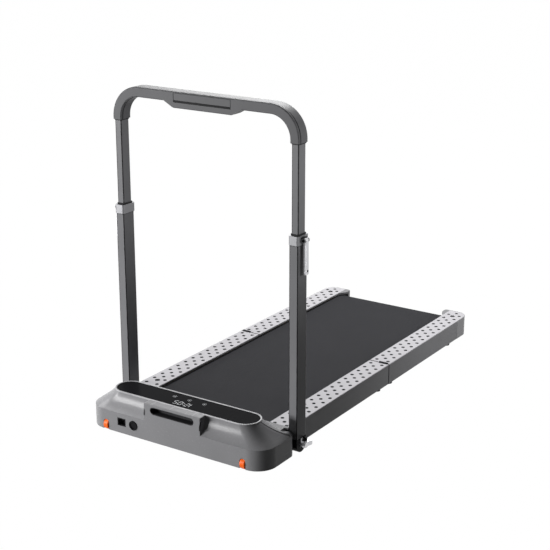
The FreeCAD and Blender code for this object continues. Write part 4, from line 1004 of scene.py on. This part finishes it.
# %% Clamp guards and bolts
sides = ((-1, "left"), (1, "right"))
pin_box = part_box("clamp_pins")
pin_x, pin_z = pin_box[1][0] - half_size(pin_box, 2), middle(pin_box, 2)
guard_start, guard_sweep = 86, 74
guard_inner, guard_outer, guard_half = 7.6 * mm, 10.2 * mm, 10.5 * mm
plug_rise = 12 * mm
guards = []
for side in (-1, 1):
    rings = []
    for k in range(13):
        turn = math.radians(guard_start + guard_sweep * k / 12)
        rings.append([(side * (pin_x + radius * math.cos(turn)), tube_y + y, pin_z + radius * math.sin(turn))
                      for radius, y in ((guard_inner, -guard_half), (guard_outer, -guard_half),
                                        (guard_outer, guard_half), (guard_inner, guard_half))])
    guards.append(skinned("guard", rings))
joined_piece("clamp_guards", guards, "black_plastic", "lower_posts", 0.8 * mm)
screws("clamp_bolts", [(side * pin_x, pin_box[0][1] - 0.5 * mm, pin_z) for side in (-1, 1)], "lower_posts",
       radius=4.6 * mm, rise=2.2 * mm, turn=(math.pi / 2, 0.0, 0.0))
for side, label in sides:
    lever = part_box("clamp_lever_" + label)
    outside = max(abs(lever[0][0]), abs(lever[1][0])) + 0.05 * mm
    hole = (side * outside, middle(lever, 1), lever[0][2] + plug_rise)
    screws("lever_plug_" + label, [hole], "clamp_lever_" + label, radius=3.4 * mm, rise=0.4 * mm,
           turn=(0.0, side * math.pi / 2, 0.0))
print("guards about", round(pin_x, 4), round(pin_z, 4))

# %% [markdown]
# The foot of each post stands in a black shoe with a round sole, centred on the pivot; its black also paints the
# shade that falls on the lower front of each post. The lock lever carries a bright stop plate and a black thumb pad
# above its hub, and both turn with it.

# %% Post shoes with painted shade, and lock pads
pivot_y, pivot_z = tube_y, 36 * mm
shoe_wall, shoe_sole, shoe_rise = 0.4 * mm, 0.3 * mm, 20 * mm
shoe_front, shoe_rear = post_box[0][1] - shoe_wall, post_box[1][1] + shoe_wall
sole_depth = pivot_z - post_box[0][2] + shoe_sole
sole_turns = [math.pi * k / 20 for k in range(21)]
shoe_outline = [(pivot_y + (shoe_rear - pivot_y) * math.cos(turn), pivot_z - sole_depth * math.sin(turn))
                for turn in sole_turns]
shoe_outline += [(shoe_front, pivot_z + shoe_rise), (shoe_rear, pivot_z + shoe_rise)]
shoes_and_shade = []
for side in (-1, 1):
    ends = sorted((side * (post_box[0][0] - shoe_wall), side * (post_box[1][0] + shoe_wall)))
    shoes_and_shade.append(skinned("shoe", [[(x, y, z) for y, z in shoe_outline] for x in ends]))
# The shoes stand for a pivot foot, and their black is partly painted shade of the lower posts.
joined_piece("post_shoes", shoes_and_shade, "black_plastic", "lower_posts", 0.5 * mm)

hub_top = pivot_z + 9 * mm
lock_parts = (  # kind, finish, thickness, limits in Y and in Z about the hub's top, edge radius and its segments
    ("stop", "silver", 4 * mm, (-8 * mm, 3 * mm), (-2 * mm, 11 * mm), 0.8 * mm, 2),
    ("pad", "black_plastic", 13 * mm, (3.3 * mm, 13 * mm), (-3 * mm, 12 * mm), 3.0 * mm, 3))
for side, label in sides:
    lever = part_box("lock_lever_" + label)
    near_x = side * min(abs(lever[0][0]), abs(lever[1][0]))
    for kind, look, thick, along, up, radius, segments in lock_parts:
        mesh = block(kind, sorted((near_x, near_x + side * thick)), [pivot_y + y for y in along],
                     [hub_top + z for z in up])
        piece = soften(new_object("lock_" + kind + "_" + label, mesh, look), radius, segments)
        place_piece(piece, "lock_lever_" + label)
print("shoes_and_shade", len(shoes_and_shade), "lock parts", len(lock_parts) * len(sides))

# %% [markdown]
# The head is moulded in pieces. A dark ribbon paints the shade where its shoulder meets the apron behind it, and a
# short one paints the shadow gap beside each end of the carrying block. Each ribbon is laid on the nearest points of
# the solid cover.

# %% Head shade ribbons
cover_mesh = nodes["head_cover"].data
cover_tree = BVHTree.FromPolygons([tuple(v.co) for v in cover_mesh.vertices],
                                  [tuple(f.vertices) for f in cover_mesh.polygons])


def surface_ribbon(name, path, half_widths, steps=14, lift=0.2 * mm, depth=1.0 * mm):
    """Thin strip along a path, laid on the surface of the head cover."""
    spots = []
    for k in range(steps + 1):
        along = k / steps * (len(path) - 1)
        i = min(int(along), len(path) - 2)
        spots.append(cover_tree.find_nearest(path[i].lerp(path[i + 1], along - i))[:2])
    rings = []
    for k, (spot, normal) in enumerate(spots):
        ahead = spots[min(k + 1, steps)][0] - spots[max(k - 1, 0)][0]
        across = normal.cross(ahead).normalized()
        half = half_widths[0] + (half_widths[1] - half_widths[0]) * k / steps
        rings.append([spot - across * half + normal * lift, spot + across * half + normal * lift,
                      spot + across * half - normal * depth, spot - across * half - normal * depth])
    return skinned(name, rings)


# Paths of the painted shade: down the shoulder towards the apron, and beside each end of the block.
shoulder_shade_path = ((260, -603, 131), (280, -585, 113), (300, -565, 96), (318, -543, 81))
block_shade_path = ((106.0, -680.0, 120), (104.0, -686.5, 94))
shade_paths = ((shoulder_shade_path, (1.2 * mm, 5.0 * mm)), (block_shade_path, (3.6 * mm, 1.8 * mm)))
seals = []
for side in (-1, 1):
    for points, widths in shade_paths:
        path = [Vector((side * x * mm, y * mm, z * mm)) for x, y, z in points]
        seals.append(surface_ribbon("seal", path, widths))
# The seals here are black ribbons of painted shade, where the cover falls into shadow.
seal = new_object("head_shade_ribbons", joined("head_shade_ribbons", seals), "black_rubber")
place_piece(shaded(seal), "front_deck")
print("head seals", len(seals))

# %% [markdown]
# At the fold, each half of the deck ends in a thin rubber bumper, seen from above and from the side as one dark line
# across the strips and down the covers. Each bumper follows the edge of its own half.

# %% Fold bumpers
strip_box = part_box("rear_foot_strip_right")
cover_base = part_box("rear_side_cover_right")[0][2]
proud, bumper_depth, bumper_wall, seam_half, seam_gap = 0.25 * mm, 1.8 * mm, 2.5 * mm, 0.5 * mm, 0.1 * mm
inner_x, outer_x = strip_box[0][0] - proud, strip_box[1][0] + proud
upper_z, lower_z = strip_top + proud, cover_base - proud
back_x, back_z = strip_box[1][0] - bumper_wall, strip_top - bumper_wall
bumper_outline = [(inner_x, back_z), (inner_x, upper_z), (outer_x, upper_z), (outer_x, lower_z), (back_x, lower_z),
                  (back_x, back_z)]
for half, direction in halves.items():
    ends = sorted(fold_y + direction * (seam_half + reach) for reach in (seam_gap, bumper_depth))
    lips = [skinned("lip", [[(side * x, y, z) for x, z in bumper_outline] for y in ends]) for side in (-1, 1)]
    joined_piece(half + "_fold_bumper", lips, "black_rubber", half + "_deck")
print("bumpers at the fold", round(fold_y, 4))
